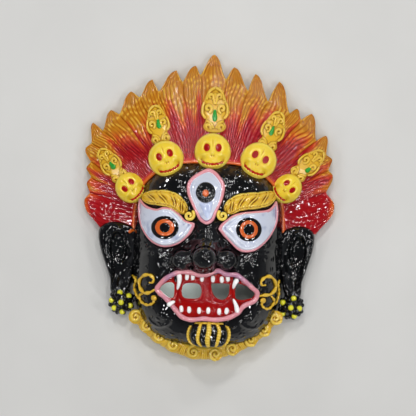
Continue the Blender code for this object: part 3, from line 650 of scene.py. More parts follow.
def smooth_line(points, count, closed=False):
    """A smooth line of evenly numbered places through a few points, of any dimension."""
    points = np.asarray(points, dtype=float)
    size = len(points)
    spans = size if closed else size - 1
    t = np.linspace(0, spans, count, endpoint=not closed)
    k = np.minimum(t.astype(int), spans - 1)
    f = (t - k)[:, None]

    def at(index):
        return points[index % size] if closed else points[np.clip(index, 0, size - 1)]

    p0, p1, p2, p3 = at(k - 1), at(k), at(k + 1), at(k + 2)
    line = 2 * p1 + (p2 - p0) * f
    line = line + (2 * p0 - 5 * p1 + 4 * p2 - p3) * f ** 2
    line = line + (3 * p1 - p0 - 3 * p2 + p3) * f ** 3
    return 0.5 * line


def bar(name, line, radii, closed=False, roundness=4):
    """A round bar with rounded ends along a line in metres, with a radius in parts at each point."""
    line = np.asarray(line, dtype=float)
    radii = np.broadcast_to(np.asarray(radii, dtype=float), (len(line),)).copy()
    if not closed:
        steps = np.linalg.norm(np.diff(line, axis=0), axis=1)
        along = np.concatenate([[0], np.cumsum(steps)]) / PART
        left = np.minimum(along, along[-1] - along)
        short = np.clip(1 - left / np.maximum(radii, 0.05), 0, 1)
        radii = np.maximum(radii * np.sqrt(np.maximum(1 - short ** 2, 0)), 0.04)
    item = start(name, bpy.ops.curve.primitive_nurbs_path_add)
    curve = item.data
    curve.splines.clear()
    spline = curve.splines.new("POLY")
    spline.points.add(len(line) - 1)
    spline.points.foreach_set("co", np.column_stack([line, np.ones(len(line))]).ravel())
    spline.points.foreach_set("radius", radii)
    spline.use_cyclic_u = closed
    curve.twist_mode = "Z_UP"
    curve.bevel_depth = PART
    curve.bevel_resolution = roundness
    curve.use_fill_caps = True
    bpy.ops.object.convert(target="MESH")
    item = bpy.context.object
    item.location = (0, 0, 0)
    clean(item)
    return item


def on_ground(line, ground, lift):
    """A line of places in parts, laid on a ground with a lift in parts, in metres."""
    line = np.asarray(line, dtype=float)[:, :2] * PART
    return np.column_stack([line, ground(line[:, 0], line[:, 1]) + np.asarray(lift) * PART])


def outline_reach(outline, middle):
    """From the middle to a smooth closed outline, by turn from +X, both in parts."""
    line = smooth_line(outline, 24 * len(outline), closed=True) - np.asarray(middle, dtype=float)
    turns = np.arctan2(line[:, 1], line[:, 0])
    order = np.argsort(turns)
    reaches = np.hypot(line[:, 0], line[:, 1])[order]
    turns = turns[order]
    return lambda turn: np.interp(turn, turns, reaches, period=2 * math.pi)


def cushion(name, middle, reach, top, under, segments=64, rings=20, even=False):
    """A closed pillow from a sphere.

    Its outline is the reach in parts by turn about the middle. Top and under give its heights in metres by
    the share of the way out and the place.
    """
    sphere = bpy.ops.mesh.primitive_uv_sphere_add
    item = start(name, sphere, segments=segments, ring_count=2 * rings, radius=1)
    x, y, z = points_of(item).T
    turn = np.arctan2(y, x)
    share = np.minimum(np.hypot(x, y), 1.0)
    if even:
        share = 1 - np.abs(np.arcsin(np.clip(z, -1, 1))) / (math.pi / 2)
    far = share * reach(turn) * PART
    px = middle[0] * PART + far * np.cos(turn)
    py = middle[1] * PART + far * np.sin(turn)
    height = np.where(z > -0.0001, top(share, px, py), under(share, px, py))
    move_points(item, np.column_stack([px, py, height]))
    clean(item, 0.000001)
    return item


def oval(half_width, half_height, lean=0.0):
    """The reach of an ellipse by turn."""
    def reach(turn):
        turn = turn - math.radians(lean)
        return 1 / np.sqrt((np.cos(turn) / half_width) ** 2 + (np.sin(turn) / half_height) ** 2)
    return reach


def volute(middle, outer, inner, begin, sweep, count=40):
    """A spiral about a middle, from an outer to an inner radius, in parts and degrees."""
    t = np.linspace(0, 1, count)
    turn = np.radians(begin + sweep * t)
    radius = outer + (inner - outer) * t ** 0.8
    return np.column_stack([middle[0] + radius * np.cos(turn), middle[1] + radius * np.sin(turn)])


def cut(item, tool):
    """Cuts a tool out of a piece and drops the tool."""
    modify(item, "BOOLEAN", operation="DIFFERENCE", object=tool)
    bpy.data.objects.remove(tool, do_unlink=True)


def mouth_cutters(name, growth):
    """Four upright blocks through the openings between the teeth, grown by a margin in parts."""
    blocks = []
    for k, outline in enumerate(MOUTH_OPENINGS):
        corners = np.asarray(outline, dtype=float)
        middle = corners.mean(0)
        reach = outline_reach(middle + (corners - middle) * (1 + growth / 7), middle)
        post = bpy.ops.mesh.primitive_cylinder_add
        block = start(f"{name}_{k}", post, vertices=64, radius=1, depth=1, end_fill_type="NGON")
        x, y, z = points_of(block).T
        turn = np.arctan2(y, x)
        far = reach(turn)
        px = (middle[0] + far * np.cos(turn)) * PART
        py = (middle[1] + far * np.sin(turn)) * PART
        move_points(block, np.column_stack([px, py, (z + 0.45) * 90 * PART]))
        blocks.append(block)
    return join(name, blocks)


# Shader groups and paints

def new_group(name, inputs, outputs):
    group = bpy.data.node_groups.new(name, "ShaderNodeTree")
    for label, kind, default in inputs:
        socket = group.interface.new_socket(name=label, in_out="INPUT", socket_type=kind)
        socket.default_value = default
    for label, kind in outputs:
        group.interface.new_socket(name=label, in_out="OUTPUT", socket_type=kind)
    return group, group.nodes.new("NodeGroupInput"), group.nodes.new("NodeGroupOutput")


def add_node(tree, kind, links=(), **settings):
    """Adds a node, sets its values and links (socket, source) pairs into it."""
    node = tree.nodes.new(kind)
    for key, value in settings.items():
        if key in node.inputs:
            node.inputs[key].default_value = value
        else:
            setattr(node, key, value)
    for socket, source in links:
        tree.links.new(source, node.inputs[socket])
    return node


def mix(tree, factor, one, two, kind="RGBA", blend="MIX"):
    """A Mix node of colours. Factor, one and two are sockets or plain values."""
    node = tree.nodes.new("ShaderNodeMix")
    node.data_type = kind
    node.blend_type = blend
    sockets = {"RGBA": (0, 6, 7, 2), "FLOAT": (0, 2, 3, 0)}[kind]
    for index, value in zip(sockets[:3], (factor, one, two)):
        if isinstance(value, bpy.types.NodeSocket):
            tree.links.new(value, node.inputs[index])
        else:
            node.inputs[index].default_value = value
    return node.outputs[sockets[3]]


def spread_range(tree, source, low, high, out_low=0.0, out_high=1.0):
    """A smooth step of a value between two bounds."""
    node = add_node(tree, "ShaderNodeMapRange", [("Value", source)], interpolation_type="SMOOTHSTEP")
    for label, value in (("From Min", low), ("From Max", high), ("To Min", out_low), ("To Max", out_high)):
        node.inputs[label].default_value = value
    return node.outputs["Result"]


def cloudy(tree, scale, detail):
    """Soft noise over the piece, from 0 to 1."""
    place = tree.nodes.get("Texture Coordinate") or add_node(tree, "ShaderNodeTexCoord")
    links = [("Vector", place.outputs["Object"])]
    return add_node(tree, "ShaderNodeTexNoise", links, Scale=scale, Detail=detail).outputs["Fac"]


def sum_of(tree, one, two):
    return add_node(tree, "ShaderNodeMath", [(0, one), (1, two)], operation="ADD").outputs[0]


def product_of(tree, one, two):
    return add_node(tree, "ShaderNodeMath", [(0, one), (1, two)], operation="MULTIPLY").outputs[0]


def enamel_group():
    """Enamel: painted highlight on crests, painted shade in recesses, and a little uneven tone all over."""
    group = bpy.data.node_groups.get("enamel_shade_and_highlight")
    if group:
        return group
    group, into, out = new_group(
        "enamel_shade_and_highlight",
        [
            ("Paint", "NodeSocketColor", (0.5, 0.5, 0.5, 1)),
            ("Recess Shade", "NodeSocketColor", (0.1, 0.1, 0.1, 1)),
            ("Crest Highlight", "NodeSocketColor", (0.8, 0.8, 0.8, 1)),
            ("Recess Amount", "NodeSocketFloat", 0.6),
            ("Crest Amount", "NodeSocketFloat", 0.3),
            ("Unevenness", "NodeSocketFloat", 0.12),
            ("Gloss Roughness", "NodeSocketFloat", 0.25),
        ],
        [("Color", "NodeSocketColor"), ("Roughness", "NodeSocketFloat"), ("Height", "NodeSocketFloat")],
    )
    recess = add_node(group, "ShaderNodeAttribute", attribute_name="recess").outputs["Fac"]
    broad = cloudy(group, 70.0, 3.0)
    fine = cloudy(group, 900.0, 2.0)
    edge = add_node(group, "ShaderNodeMath", [(0, broad)], operation="MULTIPLY_ADD")
    edge.inputs[1].default_value = 0.16
    edge.inputs[2].default_value = -0.08
    uneven = sum_of(group, recess, edge.outputs[0])
    # Painted shade darkens the recesses and a painted highlight lightens the crests
    deep = product_of(group, spread_range(group, uneven, 0.52, 0.95), into.outputs["Recess Amount"])
    crest = product_of(group, spread_range(group, uneven, 0.47, 0.08), into.outputs["Crest Amount"])
    shade = mix(group, deep, into.outputs["Paint"], into.outputs["Recess Shade"])
    shade = mix(group, crest, shade, into.outputs["Crest Highlight"])
    dull = product_of(group, broad, into.outputs["Unevenness"])
    darker = mix(group, 1.0, shade, (0.35, 0.30, 0.28, 1), blend="MULTIPLY")
    shade = mix(group, dull, shade, darker)
    gloss = [(0, fine), (2, into.outputs["Gloss Roughness"])]
    rough = add_node(group, "ShaderNodeMath", gloss, operation="MULTIPLY_ADD")
    rough.inputs[1].default_value = 0.04
    group.links.new(shade, out.inputs["Color"])
    group.links.new(rough.outputs[0], out.inputs["Roughness"])
    group.links.new(sum_of(group, broad, fine), out.inputs["Height"])
    return group


def stipple_group():
    """Hammered grain: round bumps of uneven size with plain paint between them."""
    group = bpy.data.node_groups.get("stipple")
    if group:
        return group
    group, into, out = new_group(
        "stipple", [("Scale", "NodeSocketFloat", 200.0), ("Plain Share", "NodeSocketFloat", 0.1)],
        [("Height", "NodeSocketFloat")],
    )
    place = add_node(group, "ShaderNodeTexCoord").outputs["Object"]
    bend = add_node(group, "ShaderNodeTexNoise", [("Vector", place)], Scale=90.0, Detail=2.0).outputs["Color"]
    pull = add_node(group, "ShaderNodeVectorMath", [(0, bend)], operation="SCALE")
    pull.inputs["Scale"].default_value = 0.005
    moved = add_node(group, "ShaderNodeVectorMath", [(0, place), (1, pull.outputs[0])], operation="ADD")
    spots = [("Vector", moved.outputs[0]), ("Scale", into.outputs["Scale"])]
    grains = add_node(group, "ShaderNodeTexVoronoi", spots)
    bead = spread_range(group, grains.outputs["Distance"], 0.55, 0.0)
    apart = add_node(group, "ShaderNodeSeparateColor", [("Color", grains.outputs["Color"])]).outputs[0]
    left = [(0, apart), (1, into.outputs["Plain Share"])]
    weight = add_node(group, "ShaderNodeMath", left, operation="SUBTRACT", use_clamp=True).outputs[0]
    group.links.new(product_of(group, bead, weight), out.inputs["Height"])
    return group


def enamel(
    name, paint, recess_shade, crest_highlight, recess=0.7, crest=0.3, uneven=0.25, rough=0.2, relief=0.00008,
    coat=0.4, stipple=0.0, specular=0.6, paint_source=None,
):
    """A gloss enamel. A paint source builds the paint's own colour inside the material's nodes."""
    material = bpy.data.materials.get(f"mask_{name}")
    if material:
        return material
    material = bpy.data.materials.new(f"mask_{name}")
    material.use_nodes = True
    tree = material.node_tree
    shader = tree.nodes["Principled BSDF"]
    brush = add_node(tree, "ShaderNodeGroup", node_tree=enamel_group())
    # The recess colour is painted shade in hollows and the crest colour a painted highlight on crests
    values = {
        "Paint": (*paint, 1), "Recess Shade": (*recess_shade, 1), "Crest Highlight": (*crest_highlight, 1),
        "Recess Amount": recess, "Crest Amount": crest, "Unevenness": uneven, "Gloss Roughness": rough,
    }
    for label, value in values.items():
        brush.inputs[label].default_value = value
    if paint_source:
        paint_source(tree, brush)
    tree.links.new(brush.outputs["Color"], shader.inputs["Base Color"])
    tree.links.new(brush.outputs["Roughness"], shader.inputs["Roughness"])
    height = [("Height", brush.outputs["Height"])]
    normal = add_node(tree, "ShaderNodeBump", height, Strength=0.6, Distance=relief).outputs["Normal"]
    if stipple:
        grains = add_node(tree, "ShaderNodeGroup", node_tree=stipple_group())
        height = [("Height", grains.outputs["Height"]), ("Normal", normal)]
        normal = add_node(tree, "ShaderNodeBump", height, Strength=1.0, Distance=stipple).outputs["Normal"]
    tree.links.new(normal, shader.inputs["Normal"])
    tree.links.new(normal, shader.inputs["Coat Normal"])
    shader.inputs["Coat Weight"].default_value = coat
    shader.inputs["Coat Roughness"].default_value = 0.08
    shader.inputs["Specular IOR Level"].default_value = specular
    return material


def shade(paint, factor):
    return tuple(c * factor for c in paint)


def painted_crown_reflection(tree, brush):
    """Paints a reflection of the crown's gold in olive patches on the black of the face below the hairline.
    """
    crown_reflection_mask = add_node(tree, "ShaderNodeAttribute", attribute_name="crown_reflection_mask").outputs["Fac"]
    patchy = product_of(tree, crown_reflection_mask, spread_range(tree, cloudy(tree, 160.0, 4.0), 0.35, 0.7))
    tree.links.new(mix(tree, patchy, (*paints().black, 1), (*colour(92, 64, 20), 1)), brush.inputs["Paint"])


# Each enamel from here on gives a darker colour, painted shade in recesses, and a paler one, painted
# highlight on crests
def black_enamel():
    # The black also takes a painted reflection of the crown's gold below the hairline
    return enamel(
        "black_enamel", paints().black, shade(paints().black, 0.4), colour(20, 20, 23), recess=0.5,
        crest=0.25, uneven=0.1, rough=0.03, relief=0.00001, coat=0.0, stipple=sizes().stipple,
        paint_source=painted_crown_reflection,
    )


def plain_black_enamel():
    return enamel(
        "plain_black_enamel", paints().black, shade(paints().black, 0.4), colour(20, 20, 23), recess=0.5,
        crest=0.25, uneven=0.1, rough=0.04, relief=0.00002, coat=0.0,
    )


def fire(tree, brush):
    """Crimson at the roots of the flames, through vermilion, to amber at the tips."""
    heat = add_node(tree, "ShaderNodeAttribute", attribute_name="warmth").outputs["Fac"]
    drifting = [(0, cloudy(tree, 55.0, 3.0)), (2, heat)]
    drift = add_node(tree, "ShaderNodeMath", drifting, operation="MULTIPLY_ADD")
    drift.inputs[1].default_value = 0.24
    ramp = add_node(tree, "ShaderNodeValToRGB", [("Fac", drift.outputs[0])])
    marks = ramp.color_ramp.elements
    marks[0].position, marks[0].color = 0.22, (*paints().crimson, 1)
    marks[1].position, marks[1].color = 0.88, (*paints().amber, 1)
    middle = marks.new(0.52)
    middle.color = (*paints().vermilion, 1)
    tree.links.new(ramp.outputs["Color"], brush.inputs["Paint"])
    # Painted highlight on the crests: pink at the roots, turning gold at the tips, where it is partly the
    # gilt of the ridges
    warm = spread_range(tree, heat, 0.2, 0.6)
    gold = mix(tree, warm, (*colour(206, 58, 56), 1), (*colour(242, 196, 70), 1))
    tree.links.new(gold, brush.inputs["Crest Highlight"])
    # Painted shade in the grooves: dark red at the roots, turning brown at the tips
    warm = spread_range(tree, heat, 0.3, 0.9)
    deep = mix(tree, warm, (*colour(92, 2, 12), 1), (*colour(146, 66, 6), 1))
    tree.links.new(deep, brush.inputs["Recess Shade"])


def flame_enamel():
    return enamel(
        "flame_enamel", paints().crimson, colour(110, 4, 10), paints().amber, recess=0.95, crest=0.75,
        rough=0.05, relief=0.00005, coat=0.0, stipple=0.5 * sizes().stipple, specular=0.5, paint_source=fire,
    )


def yellow_enamel():
    return enamel(
        "yellow_enamel", paints().yellow, colour(184, 112, 14), colour(250, 228, 104), recess=0.95, crest=0.5,
        rough=0.14, relief=0.0002, coat=0.0,
    )


def leaf_enamel():
    return enamel(
        "leaf_enamel", colour(226, 180, 44), colour(160, 92, 10), colour(246, 218, 96), recess=1.0, crest=0.5,
        rough=0.14, relief=0.0002, coat=0.0,
    )


def gilt_enamel():
    return enamel(
        "gilt_enamel", paints().gilt, colour(130, 78, 8), colour(250, 226, 100), recess=1.0, crest=0.65,
        rough=0.16, relief=0.00005, coat=0.0,
    )


def white_tints(tree, brush):
    """The white of the eyes is brushed unevenly over a blue grey."""
    patch = spread_range(tree, cloudy(tree, 110.0, 4.0), 0.5, 0.72)
    tint = mix(tree, patch, (*paints().white, 1), (*colour(168, 178, 206), 1))
    tree.links.new(tint, brush.inputs["Paint"])


def white_enamel():
    return enamel(
        "white_enamel", paints().white, paints().lilac, colour(244, 245, 252), recess=1.0, crest=0.5,
        rough=0.18, paint_source=white_tints,
    )


def tear_enamel():
    return enamel("tear_enamel", colour(190, 202, 232), paints().lilac, colour(214, 222, 244), rough=0.2)


def tooth_enamel():
    return enamel(
        "tooth_enamel", colour(250, 249, 247), colour(206, 188, 180), colour(254, 253, 251), uneven=0.1,
        rough=0.14,
    )


def pink_enamel():
    return enamel(
        "pink_enamel", paints().pink, colour(150, 84, 120), colour(236, 168, 176), recess=0.9, crest=0.4,
        rough=0.2,
    )


def mauve_enamel():
    return enamel("mauve_enamel", colour(160, 116, 146), colour(130, 84, 120), colour(196, 136, 160))


def lip_tints(tree, brush):
    """The pink of the lips turns to mauve in soft patches."""
    patch = spread_range(tree, cloudy(tree, 42.0, 2.0), 0.46, 0.62)
    tint = mix(tree, patch, (*shade(paints().pink, 0.95), 1), (*colour(178, 128, 156), 1))
    tree.links.new(tint, brush.inputs["Paint"])


def lip_enamel():
    return enamel(
        "lip_enamel", paints().pink, colour(128, 80, 116), colour(222, 138, 150), recess=0.9, crest=0.4,
        rough=0.16, coat=0.0, paint_source=lip_tints,
    )


def red_enamel():
    return enamel(
        "red_enamel", paints().red, colour(92, 4, 6), colour(196, 34, 26), recess=0.9, crest=0.5, rough=0.04,
        relief=0.00003, coat=0.0, stipple=0.5 * sizes().stipple, specular=0.35,
    )


def orange_enamel():
    return enamel("orange_enamel", paints().orange, colour(160, 60, 10), colour(246, 148, 66), rough=0.22)


def green_enamel():
    return enamel("green_enamel", paints().green, colour(12, 92, 24), colour(90, 200, 96), rough=0.12)


def lemon_enamel():
    return enamel("lemon_enamel", paints().lemon, colour(128, 124, 16), colour(240, 240, 110), rough=0.16)


# The pieces

def soft_max(one, two, blend):
    near = np.maximum(blend - np.abs(one - two), 0.0) / blend
    return np.maximum(one, two) + near * near * blend / 4


def ease(low, high, value):
    """A smooth step from nought at low to one at high."""
    t = np.clip((value - low) / (high - low), 0.0, 1.0)
    return t * t * (3 - 2 * t)


def ball_height(x, y, middle, half_sizes, lift):
    """Height in parts of a ball over the ground that it is let into, or far below where there is none."""
    u = (x / PART - middle[0]) / half_sizes[0]
    v = (y / PART - middle[1]) / half_sizes[1]
    off = u * u + v * v
    ball = lift + half_sizes[2] * np.sqrt(np.maximum(1 - off, 0))
    return np.where(off < 1, ball, lift - 14 * (np.sqrt(off) - 1))


def fold(x, y, middle, radius, half, begin, end):
    """A rounded fold of height one along an arc, in parts and degrees."""
    dx = x / PART - middle[0]
    dy = y / PART - middle[1]
    away = (np.hypot(dx, dy) - radius) / half
    turn = np.degrees(np.arctan2(dy, dx)) % 360
    along = ease(begin, begin + 18, turn) * ease(end, end - 18, turn)
    return np.exp(-away * away) * along


def rings(away, rise, spacing):
    """Soft ridges around an eye by how far they lie from its lid, in parts."""
    fade = np.exp(-((away - EYE_FOLD_REACH) / EYE_FOLD_WIDTH) ** 2)
    return rise * np.cos(2 * math.pi * away / spacing) * fade


def nose_height(x, y):
    """The tip and the wings of the nose, with their grooves and nostrils, in parts."""
    nose = ball_height(x, y, *NOSE_TIP)
    for middle, half_sizes, lift in NOSE_WINGS:
        nose = soft_max(nose, ball_height(x, y, middle, half_sizes, lift), 4.0)
        away = np.hypot(x / PART - middle[0], y / PART - middle[1]) - WING_GROOVE_RADIUS
        nose = nose - WING_GROOVE_DEPTH * np.exp(-(away / 0.9) ** 2) * ease(-50, -36, y / PART)
    for middle in NOSTRILS:
        nose = nose - NOSTRIL_DEPTH * bump(x, y, *middle, *NOSTRIL_HALF_SIZES)
    wave = np.sin(1.5 * x / PART + np.sin(0.9 * y / PART))
    return nose + 0.2 * wave * np.sin(1.4 * y / PART + 0.8 * x / PART)


def face_relief(x, y):
    """The finished face over the back plane, in metres."""
    across, along, wide, tall = WRINKLES
    bowed = y / PART + WRINKLE_BOW * (x / PART - across) ** 2
    wrinkled = bump(x, y, across, along, wide, tall, 2)
    relief = WRINKLE_RISE * wrinkled * np.cos(2 * math.pi * bowed / WRINKLE_SPACING)
    for side in (-1, 1):
        for middle, radius, rise, begin, end in FOLDS:
            relief += rise * fold(side * x, y, middle, radius, FOLD_HALF_WIDTH, begin, end)
        for across, along, wide, tall, rise in SIDE_FORMS:
            relief += rise * bump(x, y, side * across, along, wide, tall)
    for eye in EYES.values():
        away, below = beyond(x, y, eye["upper"] + eye["lower"], eye["iris"])
        relief += rings(away, *EYE_FOLDS) * ease(0.1, 0.7, below)
    away = beyond(x, y, THIRD_EYE_OUTLINE, THIRD_IRIS)[0]
    relief += rings(away, *THIRD_EYE_FOLDS)
    return face_ground(x, y) + soft_max(relief, nose_height(x, y), 3.5) * PART


def beyond(x, y, outline, middle):
    """How far places lie outside an outline, in parts, and how squarely below its middle they are."""
    dx = x / PART - middle[0]
    dy = y / PART - middle[1]
    turn = np.arctan2(dy, dx)
    return np.hypot(dx, dy) - outline_reach(outline, middle)(turn), -np.sin(turn)


class MaskStep:
    """A step that builds some of the pieces."""

    bl_options = {"REGISTER", "UNDO"}

    def execute(self, context):
        if context.mode != "OBJECT":
            raise RuntimeError("Leave edit mode before this step")
        self.build()
        return {"FINISHED"}


class MASK_OT_face(MaskStep, bpy.types.Operator):
    """Builds the black face with its hollow behind"""

    bl_idname = "mask.face"
    bl_label = "Face"

    columns = 172
    rows = 206

    def build(self):
        face = sheet("face", self.columns, self.rows, self.front, self.back)
        cut(face, mouth_cutters("mouth_cutters", 0.3))
        store_recess(face, 0.9, 8)
        x, y = points_of(face)[:, :2].T
        turn, reach = polar(x, y)
        near = (hairline_reach(turn) - reach) / PART
        # Where the painted reflection of the crown's gold lies, fading away from the hairline
        store(face, "crown_reflection_mask", ease(13, 1, near) * ease(-14, 6, y / PART))
        complete(face, black_enamel())
        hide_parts("mask")

    def place(self, u, v, inset):
        """A place on the face, less an inset, by u and v. The points lie closer towards the outline."""
        across = 0.25 * np.abs(u) + 0.75 * np.sin(np.abs(u) * math.pi / 2)
        along = 0.25 * np.abs(v) + 0.75 * np.sin(np.abs(v) * math.pi / 2)
        longest = np.maximum(np.maximum(across, along), 1e-9)
        whole = (across ** FACE_SQUARENESS + along ** FACE_SQUARENESS + 1e-12) ** (1 / FACE_SQUARENESS)
        x = np.sign(u) * across * longest / whole * (FACE_HALF_WIDTH * PART - inset)
        y = np.sign(v) * along * longest / whole * (FACE_HALF_LENGTH * PART - inset)
        return x, y + FACE_MIDDLE * PART

    def crown_hollow(self, x, y, overlap):
        """Where the hollow behind the crown runs over the face, and the crown's height there."""
        turn, reach = polar(x, y)
        root = hairline_reach(turn)
        share = (reach - root) / (flame_reach(turn) - root)
        inside = (share > -overlap) & (np.abs(turn) < math.radians(HOLLOW_SIDE_TURN))
        return inside, crown_height(turn, np.clip(share, 0, 1))

    def front(self, u, v):
        x, y = self.place(u, v, 0.0)
        height = np.where(face_share(x, y) > 0.9999, 0.0, face_relief(x, y))
        inside, crown = self.crown_hollow(x, y, 0.0)
        return x, y, np.where(inside, crown - sizes().wall / 3, height)

    def back(self, u, v):
        wall = sizes().wall
        x, y = self.place(u, v, wall)
        left = np.maximum(1 - face_share(x, y, wall), 0.0)
        height = (FACE_DEPTH * PART - wall) * np.where(left < 0.0001, 0.0, left) ** FACE_FULLNESS
        inside, crown = self.crown_hollow(x, y, HOLLOW_OVERLAP)
        return x, y, np.where(inside, np.maximum(height, crown - wall), height)


class MASK_OT_crown(MaskStep, bpy.types.Operator):
    """Builds the crown of flames"""

    bl_idname = "mask.crown"
    bl_label = "Crown of flames"

    columns = 40
    shoulder_rows = 32
    tip_rows = 20
    strands = 6

    def build(self):
        wide = self.columns + 1
        tall = self.shoulder_rows + self.tip_rows
        across = len(FLAMES) * wide - 1
        grid = bpy.ops.mesh.primitive_grid_add
        crown = start("flame_crown", grid, x_subdivisions=across, y_subdivisions=tall, size=2)
        index = np.arange(len(crown.data.vertices))
        row, column = np.divmod(index, len(FLAMES) * wide)
        flame, step = np.divmod(column, wide)
        move_points(crown, self.front(flame, 2 * step / self.columns - 1, row))
        store(crown, "warmth", self.warmth)
        self.drop_gaps(crown, wide)
        clean(crown)
        count = len(crown.data.vertices)
        modify(crown, "SOLIDIFY", thickness=0.1, offset=-1)
        co = points_of(crown)
        co[count:] = co[:count]
        co[count:, 2] = self.under(co[:count, 0], co[:count, 1])
        move_points(crown, co)
        clean(crown, 0.000001)
        store_recess(crown, 0.38, 6)
        complete(crown, flame_enamel())

    def drop_gaps(self, crown, wide):
        """Deletes the strips that join one flame to the next."""
        across = len(FLAMES) * wide - 1
        faces = np.arange(len(crown.data.polygons)) % across
        pick(crown)
        bpy.ops.object.mode_set(mode="EDIT")
        bpy.ops.mesh.select_mode(type="FACE")
        bpy.ops.mesh.select_all(action="DESELECT")
        bpy.ops.object.mode_set(mode="OBJECT")
        crown.data.polygons.foreach_set("select", faces % wide == wide - 1)
        bpy.ops.object.mode_set(mode="EDIT")
        bpy.ops.mesh.delete(type="FACE")
        bpy.ops.mesh.select_mode(type="VERT")
        bpy.ops.object.mode_set(mode="OBJECT")

    def front(self, flame, s, row):
        """Places the front's points by flame, share across it from -1 to 1, and row from the hairline out."""
        table = np.array(FLAMES)
        ends = np.concatenate([[-CROWN_SIDE_TURN], table[:, 2]])
        notches = np.concatenate([[CROWN_SIDE_REACH], table[:, 3]])
        tip_turn, tip_reach = table[flame, 0], table[flame, 1]
        s = 0.7 * s + 0.3 * np.sin(s * math.pi / 2)
        foot = ends[flame] * (1 - s) / 2 + ends[flame + 1] * (1 + s) / 2
        shoulder = notches[flame] * (1 - s) / 2 + notches[flame + 1] * (1 + s) / 2
        low = np.clip(row / self.shoulder_rows, 0, 1)
        high = np.clip((row - self.shoulder_rows) / self.tip_rows, 0, 1)
        narrow = (1 - high) ** 0.62 * (1 - 0.1 * np.sin(math.pi * high))
        turn = np.radians(tip_turn + (foot - tip_turn) * narrow)
        root = hairline_reach(turn)
        reach = root + (shoulder * PART - root) * low + (tip_reach - shoulder) * PART * high
        self.warmth = self.heat(flame, s, high, np.degrees(turn), reach)
        share = np.clip((reach - root) / (flame_reach(turn) - root), 0, 1)
        carved = self.carve(flame, s, low, high, np.degrees(turn), reach, share)
        height = crown_height(turn, share) + carved * PART
        free = ease(0.45, 1.0, low)
        wave = 0.5 * np.sin(2 * math.pi * reach / (23 * PART) + 3 * turn) * free * (1 - high) * PART
        x, y = crown_place(turn + wave / reach, reach)
        return np.column_stack([x, y, height])

    def heat(self, flame, s, high, degrees, reach):
        """How far the paint has turned from crimson to amber."""
        cold = 4 * ease(22, 44, degrees) + 16 * ease(66, 80, np.abs(degrees))
        patchy = 7 * np.sin(2.4 * flame + 3 * s) + 4 * np.sin(5.1 * flame - 5 * s)
        tipped = 0.5 * ease(0.1, 0.9, high) * ease(92, 80, np.abs(degrees))
        return np.maximum(ease(80, 124, reach / PART - cold + patchy), tipped)

    def carve(self, flame, s, low, high, degrees, reach, share):
        """The strands, the ridge and the rim of each flame over the plain crown, in parts."""
        across = np.abs(s)
        free = ease(0.45, 1.0, low)
        sway = 0.2 * np.sin(5 * share + 2.1 * flame) + 0.08 * np.sin(13 * share + 1.7 * flame + 2 * s)
        bend = s + (1 - s * s) * sway
        groove = np.abs(np.sin(math.pi * self.strands * (bend + 1) / 2)) ** 0.9
        finer = np.abs(np.sin(math.pi * 2 * self.strands * (bend + 1) / 2)) ** 0.7
        shift = 3.1 * np.sin(3 * bend + flame) + 2.4 * np.sin(0.31 * reach / PART + 1.3 * flame)
        broken = 0.72 + 0.28 * np.sin(0.8 * reach / PART + shift)
        broken *= 1 - 0.55 * ease(60, 74, np.abs(degrees)) * (1 - high)
        fade = (1 - high) ** 0.25 * ease(0, 0.06, low)
        relief = sizes().strand / PART * ((groove * broken - 0.5) + 0.15 * free * (finer - 0.5)) * fade
        relief += FLAME_RIDGE * free * (1 - across ** 1.6) * (1 - high) ** 0.5
        relief += 1.0 * ease(0.0, 0.15, high) * np.exp(-((across - 0.86) / 0.08) ** 2) * fade
        relief -= 1.6 * ease(0.9, 1.0, across) * ease(0.0, 0.1, high) + 0.9 * free * across ** 10 * (1 - high)
        return relief

    def under(self, x, y):
        turn, reach = polar(x, y)
        root = hairline_reach(turn)
        span = flame_reach(turn) - root
        share = (reach - root) / span
        inside = (share < 1 - CROWN_RIM * PART / span) & (np.abs(turn) < math.radians(HOLLOW_SIDE_TURN))
        return np.where(inside, crown_height(turn, np.clip(share, 0, 1)) - sizes().wall, 0.0)


class MASK_OT_hairline(MaskStep, bpy.types.Operator):
    """Builds the orange roll at the foot of the crown"""

    bl_idname = "mask.hairline"
    bl_label = "Hairline roll"

    def build(self):
        turn = np.radians(np.linspace(-CROWN_SIDE_TURN, CROWN_SIDE_TURN, 240))
        x, y = crown_place(turn, hairline_reach(turn))
        line = np.column_stack([x, y, crown_height(turn, 0.0) - 0.7 * PART])
        radii = 1.4 + 0.15 * np.sin(np.linspace(0, 60, 240))
        band = bar("hairline_roll", line, radii, roundness=6)
        curl = volute((-62.4, -22.0), 1.5, 1.2, 0, 200)
        z = np.linspace(crown_height(turn[0], 0.0) / PART - 0.7, EAR_DEPTH + 4.4, len(curl)) * PART
        hook = bar("hairline_hook", np.column_stack([curl * PART, z]), np.linspace(1.5, 1.6, len(curl)))
        roll = join("hairline_roll", [band, hook])
        store_recess(roll, 0.5, 3)
        complete(roll, orange_enamel())


def drape(item, name, place, degrees, scale, ground):
    """A scaled and turned copy of an ornament made about the origin, laid on a ground at a place in parts."""
    pick(item)
    bpy.ops.object.duplicate()
    copy = bpy.context.object
    copy.name = name
    copy.data.name = name
    x, y, z = points_of(copy).T
    turn = math.radians(degrees)
    px = place[0] * PART + x * scale[0] * math.cos(turn) - y * scale[1] * math.sin(turn)
    py = place[1] * PART + x * scale[0] * math.sin(turn) + y * scale[1] * math.cos(turn)
    move_points(copy, np.column_stack([px, py, z + ground(px, py)]))
    return copy


def drop(items):
    for item in items:
        bpy.data.objects.remove(item, do_unlink=True)


def skull_height(x, y):
    """The plain dome of a skull about the origin, in metres."""
    share = np.minimum(np.hypot(x / (SKULL_WIDTH * PART), y / (SKULL_HEIGHT * PART)), 1.0)
    return (SKULL_EDGE + SKULL_RISE * np.sqrt(1 - share * share)) * PART


